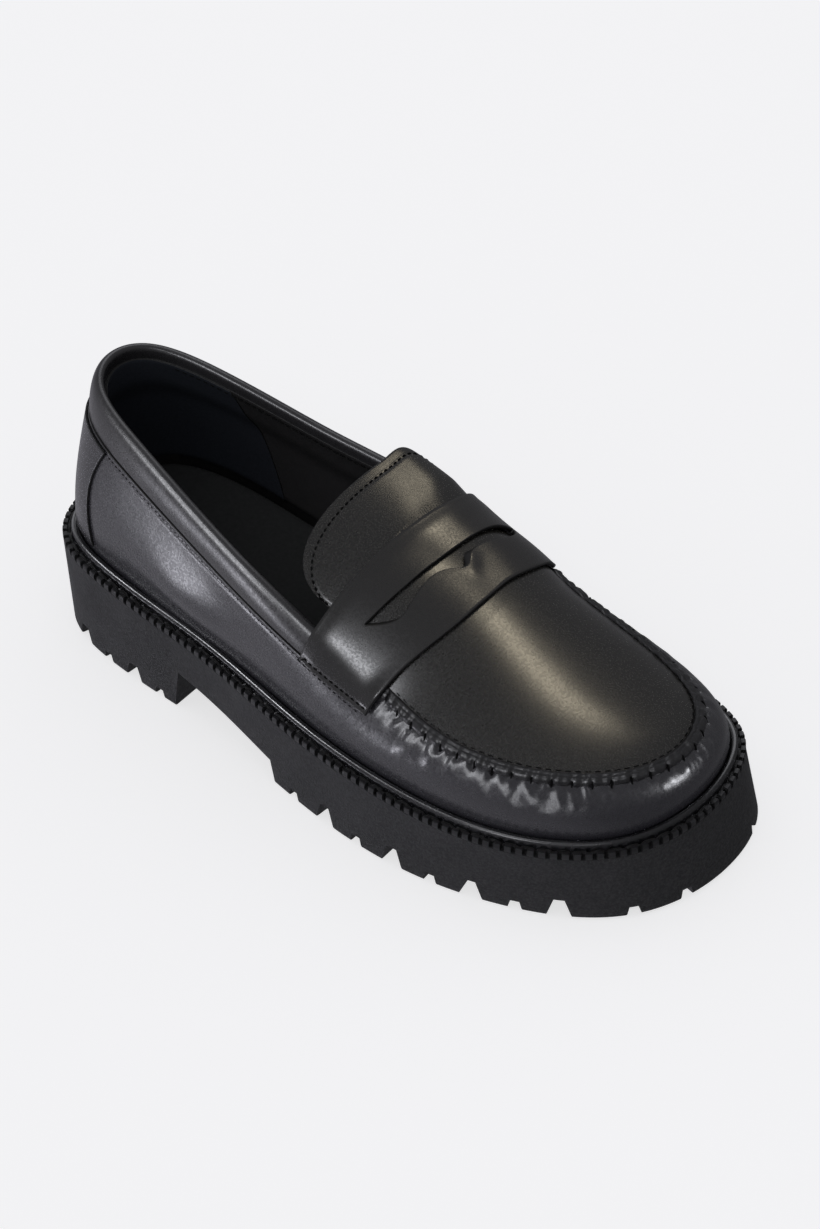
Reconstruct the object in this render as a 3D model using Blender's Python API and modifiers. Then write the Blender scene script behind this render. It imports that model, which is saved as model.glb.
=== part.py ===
"""Slip-on penny loafer, right shoe: lug sole, moccasin upper, saddle strap and padded collar.

The toe points along +X, the outer (lateral) side is -Y and the shoe stands on z = 0.
Every piece is worked out from one closed line of stations that runs round the shoe:
heel back, lateral side, toe tip, medial side.
"""
import math

import bmesh
import bpy
import numpy as np

# Driving sizes, in millimetres
MM = 0.001
GAP = 0.3
LEDGE = 6.5
WALL = 2.0
STRAP_THICKNESS = 1.6
STRAP_CLEARANCE = 0.8
STRIP_THICKNESS = 1.0
STRIP_CLEARANCE = 0.4
TONGUE_THICKNESS = 2.0
INSOLE_THICKNESS = 4.0
SEAM_HALF_WIDTH = 2.3
FLANGE = 2.2
CHANNEL = 0.8
BEAD_WIDTH = 2.9
BEAD_HEIGHT = 2.2
TOOTH_PITCH = 4.2
TOOTH_WIDTH = 2.0
TOOTH_DEPTH = 0.9
TOE_SPRING = 1.0
SPRING_START = 92.0
TOE_END = 139.0
SOLE_ROUND = 1.5

# Places round the shoe, as station numbers or as shares of the wall's height
TOE = 9
COLLAR_END = 4.75
COLLAR_GAP = 0.03
SEAM_START = 5.15
SEAM_END = 12.55
STRIP_REACH = 1.5
STRIP_LOW = 0.09
STRIP_TOP = 0.985
TONGUE_FRONT = 4.77
TONGUE_REACH = 5.37
TONGUE_CORNER = 0.37
TONGUE_SQUARENESS = 5
TONGUE_ROUND = 0.45
TONGUE_EDGE = 0.13
BELLY_SHARE = 0.4

# Points per station, and along and across each sheet
STEPS = 4
WALL_ROWS = 5
APRON_ROWS = 6
TONGUE_ROWS = 7
TONGUE_COLUMNS = 21
STRAP_ROWS = 6
STRAP_ACROSS = 33
SHARP_ANGLE = math.radians(35)

# Underside of the arch between heel breast and forefoot, as points in side view
BREAST_X = -66.0
BREAST_TOP_X = -63.0
BREAST_Z = 18.0
WAIST_X = -13.9
WAIST_Z = 10.0
FOREFOOT_X = -11.6
ARCH_REACH = 80.0
ARCH_BELOW = 5.0

# Lug notches along the sole's foot: distance from the heel back on either side, width at the mouth
# and at the top, height and length inwards. The pattern is the same on both sides.
NOTCH_COLUMNS = ("name", "first", "pitch", "count", "mouth", "top", "height", "inwards")
NOTCHES = (
    ("heel large",     47.3, 27.5, 2, 9.8, 4.2, 7.0, 18.0),
    ("heel small",     61.2, 27.0, 2, 6.2, 3.2, 3.8, 9.0),
    ("forefoot large", 178.2, 31.2, 4, 10.6, 3.8, 8.2, 20.0),
    ("forefoot small", 161.8, 31.6, 4, 6.6, 3.4, 4.2, 9.0),
    ("toe small",      296.8, 18.9, 2, 6.6, 3.4, 4.2, 9.0),
)
NOTCH_OUTSIDE = 5.0
NOTCH_BELOW = 2.0

# Stations round the shoe. edge: sole edge in plan, with the height of the ledge that the upper
# stands on. flare: how far the sole's foot stands outside that edge. top: upper end of the wall,
# which is the collar's top at the rear and the apron seam in front. band: share of the wall below
# the collar's seam. belly, shoulder and drop shape the wall between ledge and top.
STATION_COLUMNS = ("name", "edge_x", "edge_y", "edge_z", "flare",
                   "top_x", "top_y", "top_z", "band", "belly", "shoulder", "drop")
STATIONS = (
    ("heel_back",       -139.0,   2.0, 40.0, -2.6, -128.0,   3.0, 105.0, 0.77, 1.2,  3.0, 22.0),
    ("heel_corner_out", -129.5, -27.0, 40.0, -1.3, -119.0, -14.0, 103.0, 0.77, 1.5,  4.0, 20.0),
    ("heel_side_out",   -101.0, -38.0, 38.5,  0.0,  -94.0, -24.0,  98.5, 0.76, 2.0,  5.0, 18.0),
    ("waist_out",        -50.0, -43.5, 35.0, -0.2,  -48.0, -35.0,  87.5, 0.73, 2.0,  5.0, 16.0),
    ("throat_out",         0.0, -52.5, 32.0,  0.5,    0.0, -41.0,  74.0, 0.70, 2.5,  6.5, 12.0),
    ("strap_out",         25.0, -55.0, 30.5,  1.6,   31.0, -41.0,  62.0, 0.72, 3.0,  9.0,  8.0),
    ("ball_out",          47.0, -55.5, 29.5,  1.8,   48.0, -43.0,  57.5, 0.75, 3.0,  8.5,  5.0),
    ("toe_side_out",      93.0, -48.5, 29.5, -0.2,   85.0, -38.5,  53.5, 0.75, 3.0,  8.5,  3.5),
    ("toe_corner_out",   125.0, -26.0, 30.5,  2.0,  114.0, -17.0,  51.0, 0.75, 3.0,  9.0,  3.0),
    ("toe_tip",          135.0,  13.5, 32.0,  4.6,  122.0,  12.5,  50.5, 0.75, 3.0,  9.0,  3.0),
    ("toe_corner_in",    124.2,  40.8, 32.0,  4.6,  110.0,  29.8,  51.5, 0.75, 3.0,  9.0,  3.0),
    ("toe_side_in",       99.5,  52.5, 30.5,  1.5,   87.0,  37.3,  53.5, 0.75, 3.0,  9.0,  3.5),
    ("ball_in",           54.0,  55.5, 29.5,  1.8,   52.0,  41.0,  58.5, 0.75, 3.0,  9.0,  5.0),
    ("strap_in",          29.0,  52.0, 30.5,  1.4,   33.0,  42.5,  64.0, 0.72, 3.0,  8.5,  8.0),
    ("throat_in",          4.0,  47.5, 32.0,  0.2,    4.0,  40.0,  76.0, 0.70, 2.5,  6.0, 12.0),
    ("waist_in",         -47.0,  41.0, 35.0, -0.4,  -47.0,  34.0,  87.0, 0.73, 2.0,  5.0, 16.0),
    ("heel_side_in",     -99.0,  41.0, 38.5, -0.2,  -92.0,  26.5,  98.0, 0.76, 2.0,  5.0, 18.0),
    ("heel_corner_in",  -129.0,  30.0, 40.0, -1.4, -119.0,  19.0, 103.0, 0.77, 1.5,  4.0, 20.0),
)

# Ridge of the instep, from the front of the apron to the rear edge of the tongue.
# pair: place between toe tip (0) and heel back (9), counted along both sides together.
# crown_out, crown_in: how squarely the surface rises to the ridge on the outer and inner side.
RIDGE_COLUMNS = ("pair", "x", "y", "z", "crown_out", "crown_in")
RIDGE = (
    (0.0,  113.0, 12.0,  56.0, 1.6, 1.6),
    (1.0,  102.0, 11.0,  60.5, 1.9, 1.9),
    (2.0,   80.0, 10.5,  68.5, 2.0, 2.0),
    (3.0,   50.0, 11.0,  79.0, 2.0, 2.1),
    (4.0,   30.0, 12.0,  86.5, 2.1, 2.5),
    (4.75,   8.5, 14.0,  94.0, 2.2, 3.1),
    (5.0,    1.0, 16.5,  96.2, 2.2, 4.4),
    (5.35, -15.0, 20.0,  98.8, 2.2, 6.0),
    (6.0,  -47.0, 24.0, 103.0, 2.2, 6.0),
)


def column(rows, columns, *names):
    """The named columns of a table as an array."""
    places = [columns.index(name) for name in names]
    return np.array([[row[place] for place in places] for row in rows], float)


def cubic(knots, values, period=None):
    """Smooth curve through the values: closed where a period is given, else with free ends."""
    knots = np.asarray(knots, float)
    values = np.asarray(values, float)
    if period is not None:
        knots = np.append(knots, knots[0] + period)
        values = np.vstack([values, values[:1]])
    count = len(knots)
    step = np.diff(knots)
    slope = np.diff(values, axis=0) / step[:, None]
    system = np.zeros((count, count))
    right = np.zeros_like(values)
    for i in range(1, count - 1):
        system[i, i - 1:i + 2] = step[i - 1], 2 * (step[i - 1] + step[i]), step[i]
        right[i] = 6 * (slope[i] - slope[i - 1])
    if period is None:
        system[0, 0] = system[-1, -1] = 1
    else:
        system[0, 0], system[0, -1] = 1, -1
        system[-1, 0], system[-1, 1] = 2 * step[0], step[0]
        system[-1, -2], system[-1, -1] = step[-1], 2 * step[-1]
        right[-1] = 6 * (slope[0] - slope[-1])
    bend = np.linalg.solve(system, right)

    def curve(where):
        where = np.atleast_1d(np.asarray(where, float))
        if period is not None:
            where = knots[0] + np.mod(where - knots[0], period)
        i = np.clip(np.searchsorted(knots, where, side="right") - 1, 0, count - 2)
        a = ((knots[i + 1] - where) / step[i])[:, None]
        b = 1 - a
        width = (step[i] ** 2 / 6)[:, None]
        return (a * values[i] + b * values[i + 1]
                + width * ((a ** 3 - a) * bend[i] + (b ** 3 - b) * bend[i + 1]))
    return curve


EDGE = column(STATIONS, STATION_COLUMNS, "edge_x", "edge_y")
SHAPE = column(STATIONS, STATION_COLUMNS, *STATION_COLUMNS[1:])
CHORD = np.linalg.norm(np.roll(EDGE, -1, axis=0) - EDGE, axis=1)
DISTANCE = np.concatenate([[0.0], np.cumsum(CHORD)])
ROUND = cubic(DISTANCE[:-1], SHAPE, DISTANCE[-1])
COUNT = len(STATIONS)
FIELD = {name: number for number, name in enumerate(STATION_COLUMNS[1:])}
TOP = [FIELD[name] for name in ("top_x", "top_y", "top_z")]
UP = np.array([0, 0, 1.0])


def along(station):
    """Distance round the shoe at a station number, whole or between two rows."""
    station = np.asarray(station, float)
    turns = np.floor(station / COUNT)
    return np.interp(station - turns * COUNT, np.arange(COUNT + 1), DISTANCE) + turns * DISTANCE[-1]


def rows_at(station):
    """All table values at the station numbers, with the outward direction in plan."""
    place = along(np.atleast_1d(station))
    near = 0.5
    values = ROUND(place)
    run = ROUND(place + near)[:, :2] - ROUND(place - near)[:, :2]
    run /= np.linalg.norm(run, axis=1)[:, None]
    outward = np.stack([run[:, 1], -run[:, 0], np.zeros(len(run))], axis=1)
    return values, outward


def sole_edge(station, outset=0.0, lift=0.0):
    """Points of the sole's upper edge, moved outwards and up."""
    values, outward = rows_at(station)
    return values[:, :3] + outward * np.reshape(outset, (-1, 1)) + UP * np.reshape(lift, (-1, 1))


def wall(station, share):
    """Outer face of the upper's wall: share 0 on the ledge, 1 at the collar top or apron seam."""
    values, outward = rows_at(station)
    share = np.broadcast_to(np.asarray(share, float), len(values))[:, None]
    belly, shoulder, drop = (values[:, [FIELD[name]]] for name in ("belly", "shoulder", "drop"))
    foot = values[:, :3] - outward * LEDGE - UP * FLANGE
    top = values[:, TOP]
    height = top[:, 2:] - foot[:, 2:]
    low = foot + UP * height * BELLY_SHARE + outward * belly
    high = top + outward * shoulder - UP * drop
    rest = 1 - share
    return (rest ** 3 * foot + 3 * rest ** 2 * share * low
            + 3 * rest * share ** 2 * high + share ** 3 * top)


def band(station):
    """Share of the wall at the collar's seam."""
    return rows_at(station)[0][:, FIELD["band"]]


RIDGE_LINE = cubic(column(RIDGE, RIDGE_COLUMNS, "pair")[:, 0],
                   column(RIDGE, RIDGE_COLUMNS, *RIDGE_COLUMNS[1:]))


def apron(pair, side, share):
    """Instep surface from the wall's top (share 0) to the ridge (share 1), on side -1 or 1."""
    pair = np.atleast_1d(np.asarray(pair, float))
    share = np.broadcast_to(np.asarray(share, float), len(pair))
    rim = wall(TOE + side * pair, 1.0)
    ridge = RIDGE_LINE(pair)
    crown = ridge[:, 3] if side < 0 else ridge[:, 4]
    rise = 1 - (1 - share) ** crown
    plan = rim[:, :2] + (ridge[:, :2] - rim[:, :2]) * share[:, None]
    height = rim[:, 2] + (ridge[:, 2] - rim[:, 2]) * rise
    return np.column_stack([plan, height])


# Edges of the saddle strap, as places between toe tip and heel back, from its lower end on the
# outer side (across -1) over the ridge (0) to its lower end on the inner side (1).
STRAP_COLUMNS = ("across", "front", "rear")
STRAP = (
    (-1.0,  4.00, 5.00),
    (-0.75, 3.92, 4.92),
    (-0.4,  3.45, 4.80),
    (0.0,   3.25, 4.68),
    (0.4,   3.30, 4.70),
    (0.75,  3.65, 4.84),
    (1.0,   3.90, 4.92),
)
SHOULDER = 0.78
STRAP_EDGES = cubic(column(STRAP, STRAP_COLUMNS, "across")[:, 0],
                    column(STRAP, STRAP_COLUMNS, "front", "rear"))


def saddle(pair, across):
    """Point of the surface that the strap lies on: apron inside the shoulder, wall below it."""
    side = -1 if across < 0 else 1
    reach = abs(across) / SHOULDER
    if reach <= 1:
        return apron(pair, side, 1 - reach)[0]
    station = TOE + side * pair
    low = band(station)[0]
    return wall(station, 1 - (1 - low) * (reach - 1) / (1 / SHOULDER - 1))[0]


def normals(grid):
    """Unit normals of a grid of points, on the left of its rows seen along them."""
    cross = np.cross(np.gradient(grid, axis=0), np.gradient(grid, axis=1))
    return cross / np.linalg.norm(cross, axis=2)[:, :, None]


def wall_normal(station, share):
    """Outward direction of the wall's face."""
    near = 0.01
    run = wall(np.asarray(station) + near, share) - wall(np.asarray(station) - near, share)
    rise = wall(station, np.asarray(share) + near) - wall(station, np.asarray(share) - near)
    cross = np.cross(run, rise)
    return cross / np.linalg.norm(cross, axis=1)[:, None]


def grid_faces(rows, columns, closed_rows=False, closed_columns=False):
    """Quads between neighbouring points of a grid that is numbered row by row."""
    faces = []
    for r in range(rows if closed_rows else rows - 1):
        for c in range(columns if closed_columns else columns - 1):
            up, right = (r + 1) % rows, (c + 1) % columns
            faces.append((r * columns + c, up * columns + c,
                          up * columns + right, r * columns + right))
    return faces


def sheet_faces(grid):
    """Faces of a sheet whose rows run up or rearwards, looking outwards."""
    return [face[::-1] for face in grid_faces(*grid.shape[:2])]


def ladder(first, count):
    """Faces across a closed ring of points, joining each to its partner on the other side."""
    half = count // 2
    faces = []
    for m in range(half):
        near, far = first + half - m, first + (half + m) % count
        near_next, far_next = first + half - m - 1, first + (half + m + 1) % count
        corners = (near, far, far_next, near_next)
        faces.append(tuple(dict.fromkeys(corners)))
    return faces


def place(name, points, faces, material, collection):
    """New object from points in millimetres, with its faces turned outwards."""
    mesh = bpy.data.meshes.new(name)
    mesh.from_pydata((np.asarray(points) * MM).tolist(), [], faces)
    shape = bmesh.new()
    shape.from_mesh(mesh)
    bmesh.ops.recalc_face_normals(shape, faces=shape.faces)
    shape.to_mesh(mesh)
    shape.free()
    mesh.shade_smooth()
    mesh.set_sharp_from_angle(angle=SHARP_ANGLE)
    if material:
        mesh.materials.append(material)
    piece = bpy.data.objects.new(name, mesh)
    collection.objects.link(piece)
    return piece


def open_sheet(name, grid, faces, material, collection, thickness, outwards):
    """Leather sheet of even thickness on an open surface whose faces look outwards."""
    mesh = bpy.data.meshes.new(name)
    mesh.from_pydata((np.asarray(grid).reshape(-1, 3) * MM).tolist(), [], faces)
    mesh.shade_smooth()
    mesh.set_sharp_from_angle(angle=SHARP_ANGLE)
    mesh.materials.append(material)
    piece = bpy.data.objects.new(name, mesh)
    collection.objects.link(piece)
    shell = piece.modifiers.new("thickness", "SOLIDIFY")
    shell.thickness = thickness * MM
    shell.offset = 1 if outwards else -1
    shell.use_even_offset = True
    shell.use_quality_normals = True
    return piece


def cut(piece, cutter):
    """Boolean cut of a piece by a closed cutter."""
    modifier = piece.modifiers.new(cutter.name, "BOOLEAN")
    modifier.operation = "DIFFERENCE"
    modifier.solver = "EXACT"
    modifier.object = cutter
    cutter.hide_render = True
    cutter.display_type = "WIRE"


def finish(name, colour, roughness):
    """Plain material of one piece."""
    material = bpy.data.materials.new(name)
    material.use_nodes = True
    shader = material.node_tree.nodes["Principled BSDF"]
    shader.inputs["Base Color"].default_value = (*colour, 1)
    shader.inputs["Roughness"].default_value = roughness
    shader.inputs["Metallic"].default_value = 0.0
    return material


AROUND = np.arange(COUNT * STEPS) / STEPS


def sole_foot(station, outset=0.0, lift=0.0):
    """Points of the sole's foot: flat on the ground, rising at the toe."""
    values, outward = rows_at(station)
    foot = values[:, :3] + outward * (values[:, [FIELD["flare"]]] + outset)
    spring = np.clip((foot[:, 0] - SPRING_START) / (TOE_END - SPRING_START), 0, None)
    foot[:, 2] = TOE_SPRING * spring ** 2 + lift
    return foot


def make_outsole(parts, cutters):
    """Moulded sole with its heel, arch, toe spring and lugs."""
    top = sole_edge(AROUND, 0.0, -FLANGE - GAP)
    low = sole_foot(AROUND, 0.0, SOLE_ROUND)
    middle = (top + low) / 2
    rings = (sole_foot(AROUND, -SOLE_ROUND), low, middle, top)
    count = len(AROUND)
    faces = grid_faces(len(rings), count, closed_columns=True)
    faces += ladder(0, count) + ladder(count * (len(rings) - 1), count)
    rubber = finish("rubber sole", (0.018, 0.018, 0.019), 0.75)
    sole = place("outsole", np.vstack(rings), faces, rubber, parts)
    cut(sole, make_arch_cutter(cutters))
    cut(sole, make_notch_cutter(cutters))


def make_arch_cutter(cutters):
    """Block under the waist of the sole, between the heel's breast and the forefoot."""
    run = (FOREFOOT_X - WAIST_X) * ARCH_BELOW / WAIST_Z
    lean = (BREAST_TOP_X - BREAST_X) * ARCH_BELOW / BREAST_Z
    profile = ((BREAST_X - lean, -ARCH_BELOW), (BREAST_TOP_X, BREAST_Z), (WAIST_X, WAIST_Z),
               (FOREFOOT_X + run, -ARCH_BELOW))
    points = [(x, side * ARCH_REACH, z) for side in (-1, 1) for x, z in profile]
    count = len(profile)
    faces = grid_faces(2, count, closed_columns=True)
    faces += [tuple(range(count)), tuple(range(count, 2 * count))]
    return place("arch cutter", points, faces, None, cutters)


def notch_block(distance, side, mouth, top, height, inwards):
    """Corners of one notch: a trapezoid seen from outside, open downwards."""
    station = np.interp(distance, DISTANCE, np.arange(COUNT + 1))
    if side > 0:
        station = COUNT - station
    outward = rows_at(station)[1][0]
    foot = sole_foot(station)[0]
    run = np.array([-outward[1], outward[0], 0.0])
    wide, narrow = mouth / 2, top / 2
    profile = ((-wide, -NOTCH_BELOW), (wide, -NOTCH_BELOW), (narrow, height), (-narrow, height))
    return [foot + outward * reach + run * across + UP * rise
            for reach in (NOTCH_OUTSIDE, -inwards) for across, rise in profile]


def make_notch_cutter(cutters):
    """All lug notches of the sole as one set of blocks."""
    points = []
    faces = []
    table = column(NOTCHES, NOTCH_COLUMNS, *NOTCH_COLUMNS[1:])
    for first, pitch, count, *sizes in table:
        for number in range(int(count)):
            for side in (-1, 1):
                start = len(points)
                points.extend(notch_block(first + number * pitch, side, *sizes))
                box = grid_faces(2, 4, closed_columns=True) + [(0, 1, 2, 3), (4, 5, 6, 7)]
                faces += [tuple(start + corner for corner in face) for face in box]
    return place("notch cutter", points, faces, None, cutters)


def make_insole(parts):
    """Board and sock inside the upper."""
    inset = LEDGE + WALL + 2 * GAP
    low = sole_edge(AROUND, -inset, -FLANGE)
    rings = (low, low + UP * INSOLE_THICKNESS)
    count = len(AROUND)
    faces = grid_faces(2, count, closed_columns=True) + ladder(0, count) + ladder(count, count)
    lining = finish("insole lining", (0.012, 0.012, 0.012), 0.8)
    place("insole", np.vstack(rings), faces, lining, parts)


def wall_outset(station, lift):
    """How far inside the sole's edge the wall's face lies, at a height above the ledge."""
    shares = np.linspace(0, 0.5, 26)
    values, outward = rows_at(station)
    heights = []
    insets = []
    for share in shares:
        face = wall(station, share)
        heights.append(face[:, 2] - values[:, 2])
        insets.append(np.sum((face - values[:, :3]) * outward, axis=1))
    heights, insets = np.array(heights), np.array(insets)
    return np.array([np.interp(lift, heights[:, i], insets[:, i]) for i in range(len(values))])


# Section of the welt's bead: distance from the upper and rise, as shares of its width and height
BEAD_COLUMNS = ("out", "rise")
BEAD = (
    (0.97, 0.40),
    (0.66, 0.95),
    (0.31, 1.00),
    (0.00, 0.55),
)


def make_welt(parts):
    """Ring on the sole's ledge: a round bead against the upper and a channel outside it."""
    edge = -TOOTH_WIDTH - GAP
    low = wall_outset(AROUND, -FLANGE) + GAP
    inner = np.maximum(low, wall_outset(AROUND, BEAD_HEIGHT * BEAD[-1][1]) + GAP)
    rings = [
        sole_edge(AROUND, low, -FLANGE),
        sole_edge(AROUND, edge, -FLANGE),
        sole_edge(AROUND, edge, -CHANNEL),
        sole_edge(AROUND, inner + BEAD_WIDTH, -CHANNEL),
    ]
    for out, rise in column(BEAD, BEAD_COLUMNS, "out", "rise"):
        rings.append(sole_edge(AROUND, inner + BEAD_WIDTH * out, BEAD_HEIGHT * rise))
    faces = grid_faces(len(rings), len(AROUND), closed_rows=True, closed_columns=True)
    rubber = finish("welt rubber", (0.014, 0.014, 0.015), 0.4)
    place("welt", np.vstack(rings), faces, rubber, parts)


def make_welt_edge(parts):
    """Toothed outer edge of the welt."""
    teeth = round(DISTANCE[-1] / TOOTH_PITCH)
    distance = np.arange(2 * teeth) * DISTANCE[-1] / (2 * teeth)
    station = np.interp(distance, DISTANCE, np.arange(COUNT + 1))
    notch = np.arange(2 * teeth) % 2
    rings = [
        sole_edge(station, -TOOTH_WIDTH, -FLANGE),
        sole_edge(station, 0.0, -FLANGE),
        sole_edge(station, -TOOTH_DEPTH * notch, -TOOTH_DEPTH * notch),
        sole_edge(station, -TOOTH_WIDTH, 0.0),
    ]
    faces = grid_faces(len(rings), len(station), closed_rows=True, closed_columns=True)
    rubber = finish("welt edge rubber", (0.02, 0.02, 0.021), 0.7)
    place("welt_edge", np.vstack(rings), faces, rubber, parts)


def make_upper(parts):
    """Vamp wall, quarters and apron as one wall, open underneath, at the collar and the throat."""
    count = len(AROUND)
    toe = TOE * STEPS
    reach = round(COLLAR_END * STEPS)
    last = WALL_ROWS + 1 + APRON_ROWS
    points = []
    number = {}

    def add(key, point):
        number[key] = len(points)
        points.append(point)

    seam_share = band(AROUND)
    for row in range(WALL_ROWS + 1):
        for i, point in enumerate(wall(AROUND, seam_share * row / WALL_ROWS)):
            add((i, row), point)
    for step in range(-reach, reach + 1):
        side = -1 if step < 0 else 1
        pair = abs(step) / STEPS
        for row in range(APRON_ROWS):
            add((toe + step, WALL_ROWS + 1 + row), apron(pair, side, row / APRON_ROWS)[0])
    for step in range(reach + 1):
        add((toe + step, last), RIDGE_LINE(step / STEPS)[0, :3])
        number[(toe - step, last)] = number[(toe + step, last)]
    faces = []
    for row in range(last):
        columns = range(count) if row < WALL_ROWS else range(toe - reach, toe + reach)
        for i in columns:
            right = (i + 1) % count
            faces.append((number[(i, row)], number[(right, row)],
                          number[(right, row + 1)], number[(i, row + 1)]))
    leather = finish("upper leather", (0.02, 0.02, 0.021), 0.38)
    open_sheet("upper", points, faces, leather, parts, WALL, False)


# Section of the padded collar: rise from its seam (0) to its top (1), and depth inwards.
COLLAR_COLUMNS = ("rise", "depth")
COLLAR = (
    (0.02, 0.6),
    (0.35, -0.3),
    (0.75, -0.2),
    (0.94, 0.8),
    (1.0,  2.3),
    (0.94, 3.9),
    (0.6,  4.8),
    (0.02, 4.2),
)


def make_collar(parts):
    """Padded topline band, from one end of the strap round the heel to the other."""
    spans = round((COUNT - 2 * COLLAR_END) * STEPS)
    station = TOE + COLLAR_END + np.arange(spans + 1) / STEPS
    station[0] += COLLAR_GAP
    station[-1] -= COLLAR_GAP
    seam_share = band(station)
    sections = []
    for rise, depth in column(COLLAR, COLLAR_COLUMNS, "rise", "depth"):
        share = seam_share + (1 - seam_share) * rise
        sections.append(wall(station, share) - wall_normal(station, share) * depth)
    grid = np.stack(sections, axis=1)
    rows, columns = grid.shape[:2]
    faces = grid_faces(rows, columns, closed_columns=True)
    faces += [tuple(range(columns)), tuple(range((rows - 1) * columns, rows * columns))]
    leather = finish("collar leather", (0.022, 0.022, 0.024), 0.4)
    place("collar", grid.reshape(-1, 3), faces, leather, parts)


def make_back_strip(parts):
    """Strip over the back of the quarters, from the ledge up to the collar's seam."""
    station = np.arange(-STRIP_REACH * STEPS, STRIP_REACH * STEPS + 1) / STEPS
    top = band(station)
    shares = [top * row / WALL_ROWS for row in range(1, WALL_ROWS)]
    shares = [np.full_like(top, STRIP_LOW)] + shares + [top * STRIP_TOP]
    grid = np.stack([wall(station, s) + wall_normal(station, s) * STRIP_CLEARANCE for s in shares])
    leather = finish("back strip leather", (0.02, 0.02, 0.021), 0.36)
    open_sheet("back_strip", grid, sheet_faces(grid), leather, parts, STRIP_THICKNESS, True)


def make_tongue(parts):
    """Rear flap of the apron behind the strap, with rounded corners."""
    across = np.sin(np.linspace(-1, 1, TONGUE_COLUMNS) * math.pi / 2)
    lengthwise = np.linspace(0, 1, TONGUE_ROWS)
    grid = np.zeros((len(lengthwise), len(across), 3))
    for c, t in enumerate(across):
        side = -1 if t < 0 else 1
        share = TONGUE_EDGE + (1 - TONGUE_EDGE) * (1 - abs(t))
        rounding = (1 - abs(t) ** TONGUE_SQUARENESS) ** TONGUE_ROUND
        rear = TONGUE_REACH - TONGUE_CORNER * (1 - rounding)
        grid[:, c] = apron(TONGUE_FRONT + (rear - TONGUE_FRONT) * lengthwise, side, share)
    leather = finish("tongue leather", (0.022, 0.022, 0.022), 0.4)
    open_sheet("tongue", grid, sheet_faces(grid), leather, parts, TONGUE_THICKNESS, False)


# Slot of the strap in plan: its rear and front edge along the foot at each place across it
SLOT_BOTTOM = 55.0
SLOT_TOP = 115.0
SLOT_COLUMNS = ("y", "rear_x", "front_x")
SLOT = (
    (-31.0, 16.2, 16.9),
    (-27.5, 17.3, 21.9),
    (-24.0, 18.3, 25.0),
    (-19.0, 19.7, 25.9),
    (-14.0, 21.0, 25.6),
    (-7.0,  22.5, 26.0),
    (-0.5,  23.8, 28.9),
    (5.0,   24.6, 32.4),
    (9.0,   25.1, 30.4),
    (12.0,  25.4, 29.8),
    (18.0,  26.0, 31.0),
    (25.0,  26.4, 32.6),
    (31.0,  26.6, 31.2),
    (35.0,  26.8, 27.5),
)


def make_slot_cutter(cutters):
    """Upright block in the outline of the slot."""
    edges = column(SLOT, SLOT_COLUMNS, "y", "rear_x", "front_x")
    outline = [(front, y) for y, rear, front in edges] + [(rear, y) for y, rear, front in edges[::-1]]
    points = [(x, y, z) for z in (SLOT_BOTTOM, SLOT_TOP) for x, y in outline]
    count = len(outline)
    faces = grid_faces(2, count, closed_columns=True)
    faces += [tuple(range(count)), tuple(range(count, 2 * count))]
    return place("slot cutter", points, faces, None, cutters)


def make_strap(parts, cutters):
    """Saddle strap over the instep, with its slot."""
    across = np.linspace(-1, 1, STRAP_ACROSS)
    lengthwise = np.linspace(0, 1, STRAP_ROWS)
    grid = np.zeros((len(lengthwise), len(across), 3))
    for c, t in enumerate(across):
        front, rear = STRAP_EDGES(t)[0]
        for row, share in enumerate(lengthwise):
            grid[row, c] = saddle(front + (rear - front) * share, t)
    grid += normals(grid) * -STRAP_CLEARANCE
    leather = finish("strap leather", (0.021, 0.021, 0.021), 0.36)
    strap = open_sheet("strap", grid, sheet_faces(grid), leather, parts, STRAP_THICKNESS, True)
    cut(strap, make_slot_cutter(cutters))


# Section of the seam's roll: across from the wall's side (-1) to the apron's side (1), and rise
SEAM_COLUMNS = ("across", "rise")
SEAM = (
    (-1.0,  0.3),
    (0.0,   0.6),
    (1.0,   0.3),
    (0.85,  1.4),
    (0.0,   1.8),
    (-0.85, 1.4),
)
SEAM_NEAR = 0.1


def make_apron_seam(parts):
    """Raised roll along the seam between vamp wall and apron."""
    between = AROUND[(AROUND > SEAM_START) & (AROUND < SEAM_END)]
    station = np.concatenate([[SEAM_START], between, [SEAM_END]])
    middle = wall(station, 1.0)
    inside = [apron(abs(s - TOE), -1 if s < TOE else 1, SEAM_NEAR)[0] for s in station]
    outer = wall(station, 1 - SEAM_NEAR) - middle
    inner = np.array(inside) - middle
    outer *= SEAM_HALF_WIDTH / np.linalg.norm(outer, axis=1)[:, None]
    inner *= SEAM_HALF_WIDTH / np.linalg.norm(inner, axis=1)[:, None]
    lift = np.cross(np.gradient(middle, axis=0), inner - outer)
    lift /= np.linalg.norm(lift, axis=1)[:, None]
    sections = []
    for across, rise in column(SEAM, SEAM_COLUMNS, "across", "rise"):
        sideways = inner if across > 0 else outer
        sections.append(middle + sideways * abs(across) + lift * rise)
    grid = np.stack(sections, axis=1)
    rows, columns = grid.shape[:2]
    faces = grid_faces(rows, columns, closed_columns=True)
    faces += [tuple(range(columns)), tuple(range((rows - 1) * columns, rows * columns))]
    leather = finish("seam leather", (0.016, 0.016, 0.017), 0.35)
    place("apron_seam", grid.reshape(-1, 3), faces, leather, parts)


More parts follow.
